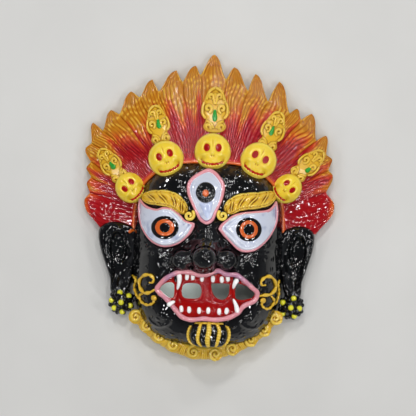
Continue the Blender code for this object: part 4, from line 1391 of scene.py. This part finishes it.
def skull_relief(x, y):
    """The carved front of a skull about the origin, in metres."""
    u = np.abs(x) / PART
    v = y / PART
    socket = ((u - SOCKET[0]) / 2.7) ** 2 + ((v - SOCKET[1]) / 3.5) ** 2
    height = -1.9 * np.exp(-socket ** 2)
    for across, along, wide, tall, rise in SKULL_FORMS:
        height += rise * np.exp(-(((u - across) / wide) ** 2 + ((v - along) / tall) ** 2))
    below = grin(u) - v
    teeth = np.exp(-((below - 1.8) / 1.2) ** 4) * ease(7.4, 6.4, u)
    height += teeth * (1.3 * np.abs(np.cos(math.pi * x / PART / SKULL_TOOTH_SPACING)) ** 0.5 - 0.5)
    height -= 1.0 * np.exp(-(below / 0.9) ** 2) * ease(9.4, 8.2, u)
    return skull_height(x, y) + height * PART


def grin(across):
    """How high the line of a skull's grin lies, in parts."""
    return -10.2 + 0.026 * across ** 2 + 0.5 * ease(6.5, 8.5, np.abs(across)) + 0.12 * np.cos(across * 1.9)


class MASK_OT_skulls(MaskStep, bpy.types.Operator):
    """Builds the five skulls with their red sockets and grins"""

    bl_idname = "mask.skulls"
    bl_label = "Skulls"

    def build(self):
        skull = self.skull()
        marks = self.marks()
        for k, (x, y, half_width, half_height, turn) in enumerate(SKULLS):
            foot = float(crown_ground(np.float64(x * PART), np.float64(y * PART)))
            scale = (half_width / SKULL_WIDTH, half_height / SKULL_HEIGHT)
            kinds = ((skull, "skull", yellow_enamel(), "yellow_enamel"),
                     (marks, "skull_marks", red_enamel(), "red_enamel"))
            for source, name, paint, slot in kinds:
                copy = drape(source, f"{name}_{k}", (x, y), turn, scale, lambda px, py: foot)
                px, py, pz = points_of(copy).T
                pz = np.where(pz < foot, np.maximum(pz, crown_ground(px, py) - SKULL_FOOT * PART), pz)
                move_points(copy, np.column_stack([px, py, pz]))
                store_recess(copy, 0.34, 12)
                complete(copy, paint)
        drop([skull, marks])

    def skull(self):
        """The bone and its teeth, about the origin."""
        def reach(turn):
            jaw = (1 - 0.03 * np.maximum(0.0, -np.sin(turn)) ** 2) * (1 + 0.012 * np.cos(5 * turn + 1))
            across = np.cos(turn) / (SKULL_WIDTH * jaw)
            return 1 / np.sqrt(across ** 2 + (np.sin(turn) / SKULL_HEIGHT) ** 2)

        bone = cushion(
            "skull", (0, 0), reach, lambda share, x, y: skull_relief(x, y),
            lambda share, x, y: -SKULL_SINK * PART * np.sqrt(1 - share ** 8), 104, 32, even=True,
        )
        teeth = [self.upright("skull_tooth", across, (-0.3, -1.2, -2.2), 8, 0.1, 0.95, 3)
                 for across in self.spaced(SKULL_TEETH)]
        return join("skull", [bone] + teeth)

    def marks(self):
        """The red of the sockets, of the grin and between the teeth."""
        across = np.linspace(-8.4, 8.4, 44)
        line = on_ground(np.column_stack([across, grin(across)]), skull_height, -0.5)
        mouth = bar("grin", line, 1.0 + 0.15 * np.cos(across * 1.6), roundness=3)
        gaps = [self.upright("tooth_gap", across, (-0.2, -1.9), 2, 0.62, 0.3, 2)
                for across in self.spaced(SKULL_TEETH - 1)]
        return join("skull_marks", [self.socket(-1), self.socket(1), mouth] + gaps)

    def spaced(self, count):
        """Places across the grin, evenly spaced about its middle."""
        return SKULL_TOOTH_SPACING * (np.arange(count) - (count - 1) / 2)

    def upright(self, name, across, offs, count, lift, radius, roundness):
        """A short bar across the line of the grin, through offsets from it in parts."""
        line = np.array([[across, grin(across) + off] for off in offs])
        if count > len(offs):
            line = smooth_line(line, count)
        return bar(name, on_ground(line, skull_height, lift), radius, roundness=roundness)

    def socket(self, side):
        return cushion(
            "socket", (side * SOCKET[0], SOCKET[1]), oval(2.5, 3.4),
            lambda share, x, y: skull_height(x, y) + (0.9 * np.sqrt(1 - share * share) - 1.2) * PART,
            lambda share, x, y: skull_height(x, y) - 2.6 * PART, 28, 8,
        )


def leaf_spot(across, along):
    """A place on a leaf ornament from its shares across and along."""
    return across * LEAF_WIDTH / 2, (along - 0.5) * LEAF_LENGTH


class MASK_OT_leaves(MaskStep, bpy.types.Operator):
    """Builds the five leaf ornaments with their scrolls and green drops"""

    bl_idname = "mask.leaves"
    bl_label = "Leaf ornaments"

    def build(self):
        half = [leaf_spot(*point) for point in LEAF_PROFILE]
        outline = half + [(-x, y) for x, y in reversed(half[1:-1])]
        middle = leaf_spot(0, 0.48)
        reach = outline_reach(outline, middle)
        plate = cushion(
            "leaf_plate", middle, reach, lambda share, x, y: (1.2 + 1.6 * np.sqrt(1 - share ** 4)) * PART,
            lambda share, x, y: -3 * PART * np.sqrt(1 - share ** 8), 96, 16, even=True,
        )
        rolls = [plate]
        for side in (-1, 1):
            for across, along, radius, begin, sweep, thick in LEAF_CURLS:
                line = volute(leaf_spot(across, along), radius, 0.5, begin, sweep)
                line[:, 0] *= side
                z = (2.8 + 1.7 * np.linspace(0, 1, len(line)) ** 0.7) * PART
                rolls.append(bar("leaf_curl", np.column_stack([line * PART, z]), thick, roundness=3))
            for rib in LEAF_RIBS:
                line = smooth_line([leaf_spot(side * x, y) for x, y in rib], 24)
                z = np.full(len(line), 3.0 * PART)
                rolls.append(bar("leaf_rib", np.column_stack([line * PART, z]), 1.15, roundness=3))
        leaf = join("leaf", rolls)
        store_shelter(leaf, 0.5, 4, 3.0, 0.85)
        jewel = cushion(
            "jewel", (0, 0), lambda turn: 0.85 + 0.75 * np.maximum(np.sin(turn), 0) ** 6,
            lambda share, px, py: (3.0 + 2.2 * np.sqrt(1 - share * share)) * PART,
            lambda share, px, py: np.full_like(px, 1.6 * PART), 40, 10,
        )
        for k, (x, y, length, width, lean) in enumerate(LEAVES):
            scale = (width / LEAF_WIDTH, length / LEAF_LENGTH)
            copy = drape(leaf, f"leaf_{k}", (x, y), lean, scale, crown_ground)
            complete(copy, leaf_enamel())
            x, y, half_width, half_height = JEWELS[k]
            copy = drape(jewel, f"jewel_{k}", (x, y), lean, (half_width, half_height / 1.2), crown_ground)
            store_recess(copy, 0.9, 3)
            complete(copy, green_enamel())
        drop([leaf, jewel])


def eye_surface(middle, half_sizes, rise):
    """The ball of an eye over the face."""
    def surface(x, y):
        return face_ground(x, y) + (2.3 + rise * bump(x, y, *middle, *half_sizes, 1.4)) * PART
    return surface


def disc(name, middle, reach, surface, step, material, faceted=0.0):
    """A thin domed disc on the ball of an eye."""
    def top(share, x, y):
        ripple = faceted * np.cos(9 * np.arctan2(y / PART - middle[1], x / PART - middle[0])) * share ** 2
        return surface(x, y) + (step * np.sqrt(1 - share ** 6) + ripple * (1 - share ** 6)) * PART

    item = cushion(name, middle, reach, top, lambda share, x, y: surface(x, y) - 1.0 * PART, 72, 12)
    store_recess(item, 0.6, 3)
    return complete(item, material)


class MASK_OT_eyes(MaskStep, bpy.types.Operator):
    """Builds the three eyes and their lids"""

    bl_idname = "mask.eyes"
    bl_label = "Eyes"

    def build(self):
        for name, eye in EYES.items():
            middle = eye["iris"]
            surface = eye_surface(middle, *EYEBALL)
            self.ball(name, eye["middle"], eye["upper"] + eye["lower"], surface)
            rim, iris, pupil = (oval(*ring) for ring in eye["rings"])
            black = plain_black_enamel()
            disc(f"iris_rim_{name}", middle, rim, surface, RIM_STEP, black, 0.08)
            disc(f"iris_{name}", middle, iris, surface, IRIS_STEP, orange_enamel())
            disc(f"pupil_{name}", middle, pupil, surface, PUPIL_STEP, black)
            line = np.vstack([smooth_line(eye["upper"], 110), smooth_line(eye["lower"], 110)])
            radii = np.interp(np.abs(line[:, 0]), (44, 54), (1.4, 0.95))
            self.lid(name, line, radii, LID_LIFT, middle)
        self.third()

    def third(self):
        """The upright eye on the brow."""
        surface = eye_surface(THIRD_IRIS, *THIRD_EYEBALL)
        self.ball("middle", THIRD_IRIS, THIRD_EYE_OUTLINE, surface)
        rim = oval(*THIRD_RIM)
        disc("iris_rim_middle", THIRD_IRIS, rim, surface, 0.9, black_enamel(), 0.5)
        spot, half_sizes = THIRD_IRIS_SPOT
        disc("iris_middle", spot, oval(*half_sizes), surface, 1.7, orange_enamel(), 0.3)
        line = smooth_line(THIRD_EYE_OUTLINE, 200, closed=True)
        radii = np.interp(line[:, 1], (-12, 0, 16), (1.2, 1.5, 1.9))
        self.lid("middle", line, radii, THIRD_LID_LIFT, THIRD_IRIS)
        tear = cushion(
            "tear", TEAR_MIDDLE, outline_reach(TEAR_OUTLINE, TEAR_MIDDLE),
            lambda share, x, y: surface(x, y) + 0.4 * PART * np.sqrt(1 - share ** 6),
            lambda share, x, y: surface(x, y) - 1.0 * PART, 64, 12,
        )
        store_recess(tear, 0.6, 3)
        complete(tear, tear_enamel())

    def ball(self, name, middle, outline, surface):
        """The white of an eye, with two faint grooves along its edge."""
        def top(share, x, y):
            uneven = 0.6 + 0.4 * np.sin(2 * np.arctan2(y / PART - middle[1], x / PART - middle[0]) + 1)
            outer = 0.45 * np.exp(-((share - 0.87) / 0.03) ** 2)
            inner = 0.25 * np.exp(-((share - 0.74) / 0.04) ** 2)
            edge = 1.6 * ease(0.94, 1.0, share)
            return surface(x, y) - (uneven * (outer + inner) + edge) * PART

        white = cushion(
            f"eye_white_{name}", middle, outline_reach(outline, middle), top,
            lambda share, x, y: face_ground(x, y) - 2 * PART * np.sqrt(1 - share ** 8), 120, 36, even=True,
        )
        store_recess(white, 0.3, 6)
        complete(white, white_enamel())

    def lid(self, name, line, radii, lift, middle):
        """The pink roll around an eye, and the thin mauve seam inside it."""
        lid = bar(f"lid_{name}", on_ground(line, face_ground, lift), radii, closed=True, roundness=5)
        store_recess(lid, 0.4, 3)
        complete(lid, pink_enamel())
        away = line - middle
        inner = line - SEAM_INSET * away / np.linalg.norm(away, axis=1)[:, None]
        line = on_ground(inner, face_ground, lift + 0.3)
        seam = bar(f"lid_seam_{name}", line, 0.45, closed=True, roundness=3)
        store_recess(seam, 0.4, 3)
        complete(seam, mauve_enamel())


class MASK_OT_brows(MaskStep, bpy.types.Operator):
    """Builds the two gilt brows"""

    bl_idname = "mask.brows"
    bl_label = "Brows"

    lobes = 5

    def build(self):
        for name, side in (("left", 1), ("right", -1)):
            path = smooth_line(EYES[name]["brow"], 400)
            band = sheet(
                f"brow_{name}", 280, 44, lambda u, v: self.front(path, side, u, v),
                lambda u, v: self.back(path, side, u, v),
            )
            begin, sweep = (60, -500) if side > 0 else (120, 500)
            line = volute(EYES[name]["curl"], BROW_CURL_RADIUS, 0.5, begin, sweep, 60)
            lift = 3.0 + 2.0 * np.linspace(0, 1, len(line))
            curl = bar("brow_curl", on_ground(line, face_ground, lift), 1.3)
            brow = join(f"brow_{name}", [band, curl])
            store_shelter(brow, 0.32, 14, 3.0, 0.6, 28)
            complete(brow, gilt_enamel())

    def place(self, path, side, u, v):
        """Places by u along the brow and v across it, with the half width and the phase of the lobes."""
        along = np.linspace(0, 1, len(path))
        ahead = np.gradient(path[:, :2], axis=0)
        ahead /= np.linalg.norm(ahead, axis=1)[:, None]
        t = 0.5 + 0.5 * u
        far = np.interp(t, along, path[:, 2]) * np.sqrt(np.maximum(1 - np.abs(u) ** 7, 0.0))
        high = side * v
        phase = self.lobes * t + 0.42 * high + 0.14 * np.sin(math.pi * high)
        wide = far * (0.95 + 0.05 * np.sin(math.pi * np.abs(phase - np.round(phase))))
        x = np.interp(t, along, path[:, 0]) - v * wide * np.interp(t, along, ahead[:, 1])
        y = np.interp(t, along, path[:, 1]) + v * wide * np.interp(t, along, ahead[:, 0])
        return x * PART, y * PART, far, phase

    def front(self, path, side, u, v):
        """Fat lobes with a cord between them, a row of beads and a rim along both edges."""
        x, y, far, phase = self.place(path, side, u, v)
        high = side * v
        near = np.abs(phase - np.round(phase))
        cord = 3.0 * np.exp(-(near / 0.095) ** 2)
        pillow = 2.9 * np.maximum(np.sin(math.pi * near), 0) ** 0.65
        pillow = pillow * (1 - 0.3 * np.cos(2 * math.pi * high))
        beads = 0.8 * np.exp(-((high + 0.62) / 0.14) ** 2) * np.abs(np.sin(3 * math.pi * phase)) ** 0.7
        slim = np.minimum(far / 4, 1)
        carved = np.sqrt(np.maximum(1 - v ** 6, 0.0)) * slim
        height = 0.6 + 0.2 * far * np.sqrt(np.maximum(1 - v * v, 0.0)) + (cord + pillow + beads) * carved
        height += 1.3 * np.exp(-((np.abs(v) - 0.88) / 0.08) ** 2) * slim
        return x, y, face_ground(x, y) + height * PART

    def back(self, path, side, u, v):
        x, y = self.place(path, side, u, v)[:2]
        return x, y, face_ground(x, y) - 2.5 * np.sqrt(np.maximum(1 - v * v, 0.0)) * PART


class MASK_OT_mouth(MaskStep, bpy.types.Operator):
    """Builds the lips, the gums and the teeth"""

    bl_idname = "mask.mouth"
    bl_label = "Mouth"

    def build(self):
        line = smooth_line(LIP_OUTLINE, 260, closed=True)
        swell = 0.12 * np.cos(np.linspace(0, 2 * math.pi * LIP_SWELLINGS, 260))
        lips = bar("lips", on_ground(line, face_ground, 2.8), LIP_RADIUS + swell, closed=True, roundness=7)
        store_recess(lips, 0.5, 4)
        complete(lips, lip_enamel())
        gums = cushion(
            "gums", MOUTH_MIDDLE, outline_reach(LIP_OUTLINE, MOUTH_MIDDLE),
            lambda share, x, y: self.gums(x, y),
            lambda share, x, y: face_ground(x, y) - GUM_DEPTH * PART, 200, 50, even=True,
        )
        cut(gums, mouth_cutters("gum_cutters", 0.0))
        store_recess(gums, 0.6, 6)
        complete(gums, red_enamel())
        self.teeth()

    def gums(self, x, y):
        """The height of the gums, which swell around the teeth and along the openings."""
        height = np.full_like(x, 0.7)
        for roots, down in ((UPPER_INCISORS, -1), (LOWER_INCISORS, 1)):
            for tx, ty in roots:
                height += 0.9 * bump(x, y, tx, ty + 1.5 * down, 2.9, 3.2)
        for outline in MOUTH_OPENINGS:
            mx, my = np.asarray(outline, dtype=float).mean(0)
            dx, dy = x / PART - mx, y / PART - my
            away = np.hypot(dx, dy) - outline_reach(outline, (mx, my))(np.arctan2(dy, dx))
            height += 0.7 * np.exp(-((away - 1.2) / 1.0) ** 2)
        grain = np.sin(x / PART * 2.6 + 1.3 * np.sin(y / PART * 1.9)) * np.sin(y / PART * 2.9 + x / PART)
        return face_ground(x, y) + (height + 0.06 * grain) * PART

    def teeth(self):
        teeth = []
        for roots, down in ((UPPER_INCISORS, -1), (LOWER_INCISORS, 1)):
            for k, (x, y) in enumerate(roots):
                tip = (x + 0.15 * (k - 2.5), y + TOOTH_LENGTH * down)
                line = smooth_line([(x, y), (x, y + 2.6 * down), tip], 16)
                radii = np.interp(np.linspace(0, 1, 16), (0, 0.5, 1), (1.35, 1.75, 1.35))
                teeth.append(bar("tooth", on_ground(line, face_ground, 1.5), radii, roundness=4))
        for ((x0, y0), (x1, y1)), (bow, rise) in zip(FANGS, FANG_BOWS):
            line = smooth_line([(x0, y0), ((x0 + x1) / 2 + bow, (y0 + y1) / 2), (x1, y1)], 28)
            radii = np.interp(np.linspace(0, 1, 28), (0, 0.3, 0.8, 1), (2.1, 2.0, 1.2, 0.5))
            lift = 2.6 + rise + 0.8 * np.sin(np.linspace(0, math.pi, 28))
            teeth.append(bar("fang", on_ground(line, face_ground, lift), radii, roundness=5))
        teeth = join("teeth", teeth)
        store_recess(teeth, 0.5, 3)
        complete(teeth, tooth_enamel())


class MASK_OT_scrolls(MaskStep, bpy.types.Operator):
    """Builds the gilt scrolls at the corners of the mouth"""

    bl_idname = "mask.scrolls"
    bl_label = "Scrolls"

    def build(self):
        for name, scroll in SCROLLS.items():
            bars = []
            for points in scroll:
                line = smooth_line(points, 70)
                radii = 0.68 * line[:, 2] * (1 + 0.22 * np.cos(np.linspace(0, 44, 70)))
                bars.append(bar("scroll", on_ground(line, face_ground, 1.4), radii, roundness=5))
            knob = cushion(
                "knob", scroll[1][-1][:2], oval(2.4, 2.4),
                lambda share, x, y: face_ground(x, y) + (1.2 + 2.6 * np.sqrt(1 - share ** 2)) * PART,
                lambda share, x, y: face_ground(x, y) - PART, 32, 10,
            )
            piece = join(f"scroll_{name}", bars + [knob])
            store_shelter(piece, 0.6, 4)
            complete(piece, gilt_enamel())


class MASK_OT_chin(MaskStep, bpy.types.Operator):
    """Builds the fluted ball of the chin with its gilt ribs"""

    bl_idname = "mask.chin"
    bl_label = "Chin"

    def build(self):
        self.ball()
        self.ribs()

    def place(self, across, up, swell):
        """A place on the ball: across from 0 to 180 degrees over its front, up from -90 to 90."""
        x, y = CHIN[0] * PART, CHIN[1] * PART
        foot = float(face_ground(np.float64(x), np.float64(y))) + 1.5 * PART
        a, b = np.radians(across), np.radians(up)
        girth = np.maximum(np.cos(b), 0.0) ** 0.42
        spot = np.column_stack([-np.cos(a) * girth, np.sin(b), np.sin(a) * girth])
        return spot * np.reshape(swell, (-1, 1)) * np.array(CHIN_HALF_SIZES) * PART + (x, y, foot)

    def ball(self):
        """The black ball with its ten flutes."""
        ball = start("chin_ball", bpy.ops.mesh.primitive_uv_sphere_add, segments=144, ring_count=44, radius=1)
        x, y, z = points_of(ball).T
        turn = np.degrees(np.arctan2(y, x))
        up = np.degrees(np.arcsin(np.clip(z, -1, 1)))
        flute = 0.93 + 0.03 * np.cos(np.radians(turn * 10)) + 0.008 * np.sin(up * 0.9) * np.sin(turn * 1.3)
        move_points(ball, self.place(180 - turn, up, flute))
        clean(ball, 0.000001)
        store_recess(ball, 0.6, 5)
        complete(ball, black_enamel())

    def ribs(self):
        """The gilt ribs down the ball and the crest across its top."""
        up = np.linspace(-72, 80, 50)
        bars = []
        for across, width in CHIN_RIBS:
            line = self.place(across + 2 * np.sin(np.radians(up * 3)), up, 0.94)
            radii = width * np.sqrt(np.maximum(np.cos(np.radians(up)), 0.15)) * (1 + 0.12 * np.cos(up * 0.5))
            bars.append(bar("rib", line, radii, roundness=4))
        crest = self.place(np.linspace(14, 166, 60), 62 + 6 * np.sin(np.linspace(0, math.pi, 60)), 0.95)
        bars.append(bar("crest", crest, 1.1 + 0.15 * np.cos(np.linspace(0, 50, 60)), roundness=4))
        ribs = join("chin_ribs", bars)
        store_recess(ribs, 0.5, 4)
        complete(ribs, gilt_enamel())


class MASK_OT_beard(MaskStep, bpy.types.Operator):
    """Builds the gilt band of curls below the jaw"""

    bl_idname = "mask.beard"
    bl_label = "Beard"

    def build(self):
        turns = [math.atan2(x - BEARD_MIDDLE[0], BEARD_MIDDLE[1] - y) for x, y in BEARD_CURLS]
        beard = join("beard", [self.band(turns)] + self.curls(turns) + self.ribs(turns))
        clean(beard, 0.000001)
        store_shelter(beard, 0.5, 5, 2.5, 0.7, 24)
        complete(beard, gilt_enamel())

    def band(self, turns):
        """The ribbed band, scalloped around the curls at these turns."""
        low, high = (math.radians(end) for end in BEARD_ENDS)

        def place(u, v):
            turn = low + (high - low) * (u + 1) / 2
            gap = np.cos(2 * math.pi * np.interp(turn, turns, np.arange(len(turns))))
            inset = np.interp(v, (-1, 1), (-BEARD_HALF_BAND, BEARD_INNER_EDGE - 2.5))
            inset = inset + 0.7 * (0.4 - gap) * (v < 0) * np.abs(v)
            return *beard_place(turn, inset), inset

        def front(u, v):
            x, y, inset = place(u, v)
            bend = ((np.abs(v) - 0.45) / 0.55).clip(0, 1)
            roll = BEARD_HALF_BAND * 0.9 * (1 - np.sqrt(np.maximum(1 - bend ** 2, 0)))
            ribs = 0.4 * np.abs(np.sin(35 * math.pi * (u + 1))) ** 0.6
            ends = 2.5 * ease(0.985, 1.0, np.abs(u))
            return x, y, beard_ground(inset) + (0.4 + ribs * (1 - np.abs(v)) - roll - ends) * PART

        def back(u, v):
            x, y = place(u, v)[:2]
            return x, y, np.zeros_like(x)

        return sheet("beard_band", 520, 26, front, back)

    def curls(self, turns):
        """A spiral on a dome for each curl, those on the right mirrored."""
        line = volute((0, 0), 4.6, 0.3, 90, 560, 100)
        z = (1.5 + 2.3 * np.linspace(0, 1, 100) ** 0.8) * PART
        spiral = bar("curl", np.column_stack([line * PART, z]), np.linspace(1.35, 1.05, 100), roundness=3)
        dome = cushion(
            "curl_dome", (0, 0), oval(5.4, 5.4),
            lambda share, x, y: (0.3 + 2.2 * np.sqrt(1 - share ** 2)) * PART,
            lambda share, x, y: -2 * PART * np.sqrt(1 - share ** 8), 40, 10,
        )
        curl = join("curl", [dome, spiral])
        foot = float(beard_ground(0.4))
        copies = []
        for k, place in enumerate(BEARD_CURLS):
            mirror, flip = (1, 0) if k < len(BEARD_CURLS) // 2 else (-1, 180)
            lean = math.degrees(turns[k]) + flip
            scale = (BEARD_CURL_SCALE * mirror, BEARD_CURL_SCALE)
            copies.append(drape(curl, "beard_curl", place, lean, scale, lambda px, py: foot))
        drop([curl])
        return copies

    def ribs(self, turns):
        """Three short ribs between each two curls."""
        inset = np.linspace(-4.6, 5.0, 14)
        z = beard_ground(inset) + (0.9 - 0.09 * (inset - 0.2) ** 2) * PART
        bars = []
        for first, second in zip(turns, turns[1:]):
            for share in (0.42, 0.5, 0.58):
                x, y = beard_place(np.full(14, first + (second - first) * share), inset)
                bars.append(bar("beard_rib", np.column_stack([x, y, z]), 0.8, roundness=3))
        return bars


class MASK_OT_ears(MaskStep, bpy.types.Operator):
    """Builds the two black ears"""

    bl_idname = "mask.ears"
    bl_label = "Ears"

    def build(self):
        for name, side in (("left", -1), ("right", 1)):
            outline = [(side * x + 0.05 * (side - 1) * max(x - 60, 0), y) for x, y in EAR_OUTLINE]
            middle = (side * EAR_MIDDLE[0], EAR_MIDDLE[1])
            ear = cushion(
                f"ear_{name}", middle, outline_reach(outline, middle),
                lambda share, x, y: self.relief(share, side * x / PART, y / PART),
                lambda share, x, y: np.zeros_like(x), 128, 32, even=True,
            )
            store_recess(ear, 0.9, 8)
            # The ears take no painted reflection of the crown
            store(ear, "crown_reflection_mask", np.zeros(len(ear.data.vertices)))
            complete(ear, black_enamel())

    def relief(self, share, u, v):
        """The rim, the inner fold and the slit of the right ear, at places in parts."""
        rim = np.interp(share, *EAR_RIM)
        off = np.hypot((u - 74) / 6.5, (v + 34) / 14.0) - 1
        inner = 2.6 * np.exp(-(off / 0.22) ** 2) * ease(-52, -38, v)
        slit = 2.5 * np.exp(-(((u - 71) / 1.6) ** 2 + ((v + 63) / 5.0) ** 2))
        return (EAR_DEPTH + rim + inner * (share < 0.9) - slit) * PART


class MASK_OT_beads(MaskStep, bpy.types.Operator):
    """Builds the bead clusters that hang from the ears"""

    bl_idname = "mask.beads"
    bl_label = "Bead clusters"

    def build(self):
        knob = start("knob", bpy.ops.mesh.primitive_uv_sphere_add, segments=20, ring_count=10, radius=PART)
        for name, (middle, beads) in zip(("left", "right"), BEAD_CLUSTERS):
            cluster = join(f"bead_cluster_{name}", [self.core(middle)] + self.knobs(knob, middle))
            store_recess(cluster, 0.8, 3)
            complete(cluster, black_enamel())
            yellow = []
            for x, y in beads:
                off = min(math.dist((x, y), middle), 0.92 * CLUSTER_RADIUS)
                up = CLUSTER_HEIGHT + math.sqrt(CLUSTER_RADIUS ** 2 - off ** 2)
                yellow.append(self.bead(knob, "bead", (x, y, up + 0.9), BEAD_RADIUS))
            yellow = join(f"beads_{name}", yellow)
            store_recess(yellow, 1.2, 3)
            complete(yellow, lemon_enamel())
        drop([knob])

    def core(self, middle):
        """The black ball that the knobs stand on, flat where it meets the back."""
        core = start("core", bpy.ops.mesh.primitive_uv_sphere_add, segments=48, ring_count=24, radius=1)
        co = points_of(core)
        co *= (CLUSTER_RADIUS - 0.5) * PART
        co += (middle[0] * PART, middle[1] * PART, CLUSTER_HEIGHT * PART)
        co[:, 2] = np.maximum(co[:, 2], 0.0)
        move_points(core, co)
        clean(core, 0.000001)
        return core

    def knobs(self, knob, middle):
        """Small knobs spread evenly over the front half of the ball."""
        copies = []
        for k in range(KNOBS):
            up = 1 - (k + 0.5) / KNOBS
            flat = math.sqrt(1 - up * up)
            x = middle[0] + CLUSTER_RADIUS * flat * math.cos(k * GOLDEN_TURN)
            y = middle[1] + CLUSTER_RADIUS * flat * math.sin(k * GOLDEN_TURN)
            copies.append(self.bead(knob, "knob", (x, y, CLUSTER_HEIGHT + CLUSTER_RADIUS * up), KNOB_RADIUS))
        return copies

    def bead(self, knob, name, place, radius):
        pick(knob)
        bpy.ops.object.duplicate()
        copy = bpy.context.object
        copy.name = name
        move_points(copy, points_of(copy) * radius + np.array(place) * PART)
        return copy


class MASK_OT_stage(MaskStep, bpy.types.Operator):
    """Sets the floor, the lights and the camera"""

    bl_idname = "mask.stage"
    bl_label = "Floor, lights and camera"

    def build(self):
        self.floor()
        self.light("key", *KEY_LIGHT)
        for number, (turn, lean) in enumerate(GLINTS):
            turn, lean = math.radians(turn), math.radians(lean)
            flat = GLINT_DISTANCE * math.sin(lean)
            place = (flat * math.cos(turn), flat * math.sin(turn), GLINT_DISTANCE * math.cos(lean))
            self.light(f"glint_{number}", place, GLINT_SIZE, GLINT_POWER)
        self.hollow_light()
        self.world()
        self.camera()
        bpy.context.scene.view_settings.view_transform = "Standard"

    def floor(self):
        floor = start("floor", bpy.ops.mesh.primitive_plane_add, size=4, location=(0, 0, 0))
        paper = bpy.data.materials.new("floor")
        paper.use_nodes = True
        tree = paper.node_tree
        tone = mix(tree, cloudy(tree, 9.0, 4.0), (*colour(196, 195, 192), 1), (*colour(210, 209, 206), 1))
        shader = tree.nodes["Principled BSDF"]
        tree.links.new(tone, shader.inputs["Base Color"])
        shader.inputs["Roughness"].default_value = 0.7
        floor.data.materials.append(paper)

    def light(self, name, place, size, power):
        bpy.ops.object.light_add(type="AREA", location=place)
        lamp = bpy.context.object
        lamp.name = name
        lamp.data.size = size
        lamp.data.energy = power
        lamp.rotation_euler = (Vector(AIM) - Vector(place)).to_track_quat("-Z", "Y").to_euler()

    def hollow_light(self):
        """A small lamp in the hollow, which shows the floor through the openings of the mouth."""
        place, radius, power = HOLLOW_LIGHT
        bpy.ops.object.light_add(type="POINT", location=place)
        lamp = bpy.context.object
        lamp.name = "hollow_light"
        lamp.data.energy = power
        lamp.data.color = (0.86, 1.0, 0.96)
        lamp.data.shadow_soft_size = radius

    def world(self):
        """A soft glow, stronger near the horizon than overhead."""
        world = bpy.data.worlds.new("studio")
        bpy.context.scene.world = world
        world.use_nodes = True
        tree = world.node_tree
        way = add_node(tree, "ShaderNodeTexCoord").outputs["Generated"]
        up = add_node(tree, "ShaderNodeSeparateXYZ", [("Vector", way)]).outputs["Z"]
        glow = spread_range(tree, up, 0.05, 0.75, 0.27, 0.09)
        background = tree.nodes["Background"]
        tree.links.new(glow, background.inputs["Strength"])
        background.inputs["Color"].default_value = (0.80, 0.84, 0.90, 1)

    def camera(self):
        bpy.ops.object.camera_add(location=(*CAMERA_PLACE, sizes().camera_distance))
        camera = bpy.context.object
        camera.rotation_euler = (0, 0, math.radians(CAMERA_TURN))
        camera.data.sensor_width = SENSOR_WIDTH
        camera.data.lens = SENSOR_WIDTH * sizes().camera_distance / PICTURE_WIDTH
        bpy.context.scene.camera = camera


STEPS = (
    MASK_OT_face, MASK_OT_crown, MASK_OT_hairline, MASK_OT_skulls, MASK_OT_leaves, MASK_OT_eyes,
    MASK_OT_brows, MASK_OT_mouth, MASK_OT_scrolls, MASK_OT_chin, MASK_OT_beard, MASK_OT_ears,
    MASK_OT_beads, MASK_OT_stage,
)


class MASK_PT_steps(bpy.types.Panel):
    """The steps and settings of the wall mask"""

    bl_idname = "MASK_PT_steps"
    bl_label = "Guardian Wall Mask"
    bl_space_type = "VIEW_3D"
    bl_region_type = "UI"
    bl_category = "Mask"

    def draw(self, context):
        for group in (context.scene.mask_sizes, context.scene.mask_paints):
            for name in group.__annotations__:
                self.layout.prop(group, name)
        for step in STEPS:
            self.layout.operator(step.bl_idname)


CLASSES = (MaskPaints, MaskSizes, *STEPS, MASK_PT_steps)


def register():
    for item in CLASSES:
        bpy.utils.register_class(item)
    bpy.types.Scene.mask_paints = bpy.props.PointerProperty(type=MaskPaints)
    bpy.types.Scene.mask_sizes = bpy.props.PointerProperty(type=MaskSizes)


def unregister():
    del bpy.types.Scene.mask_sizes
    del bpy.types.Scene.mask_paints
    for item in reversed(CLASSES):
        bpy.utils.unregister_class(item)


def main():
    register()
    bpy.ops.object.select_all(action="DESELECT")
    for step in STEPS:
        getattr(bpy.ops.mask, step.bl_idname.split(".")[1])()


if __name__ == "__main__":
    main()
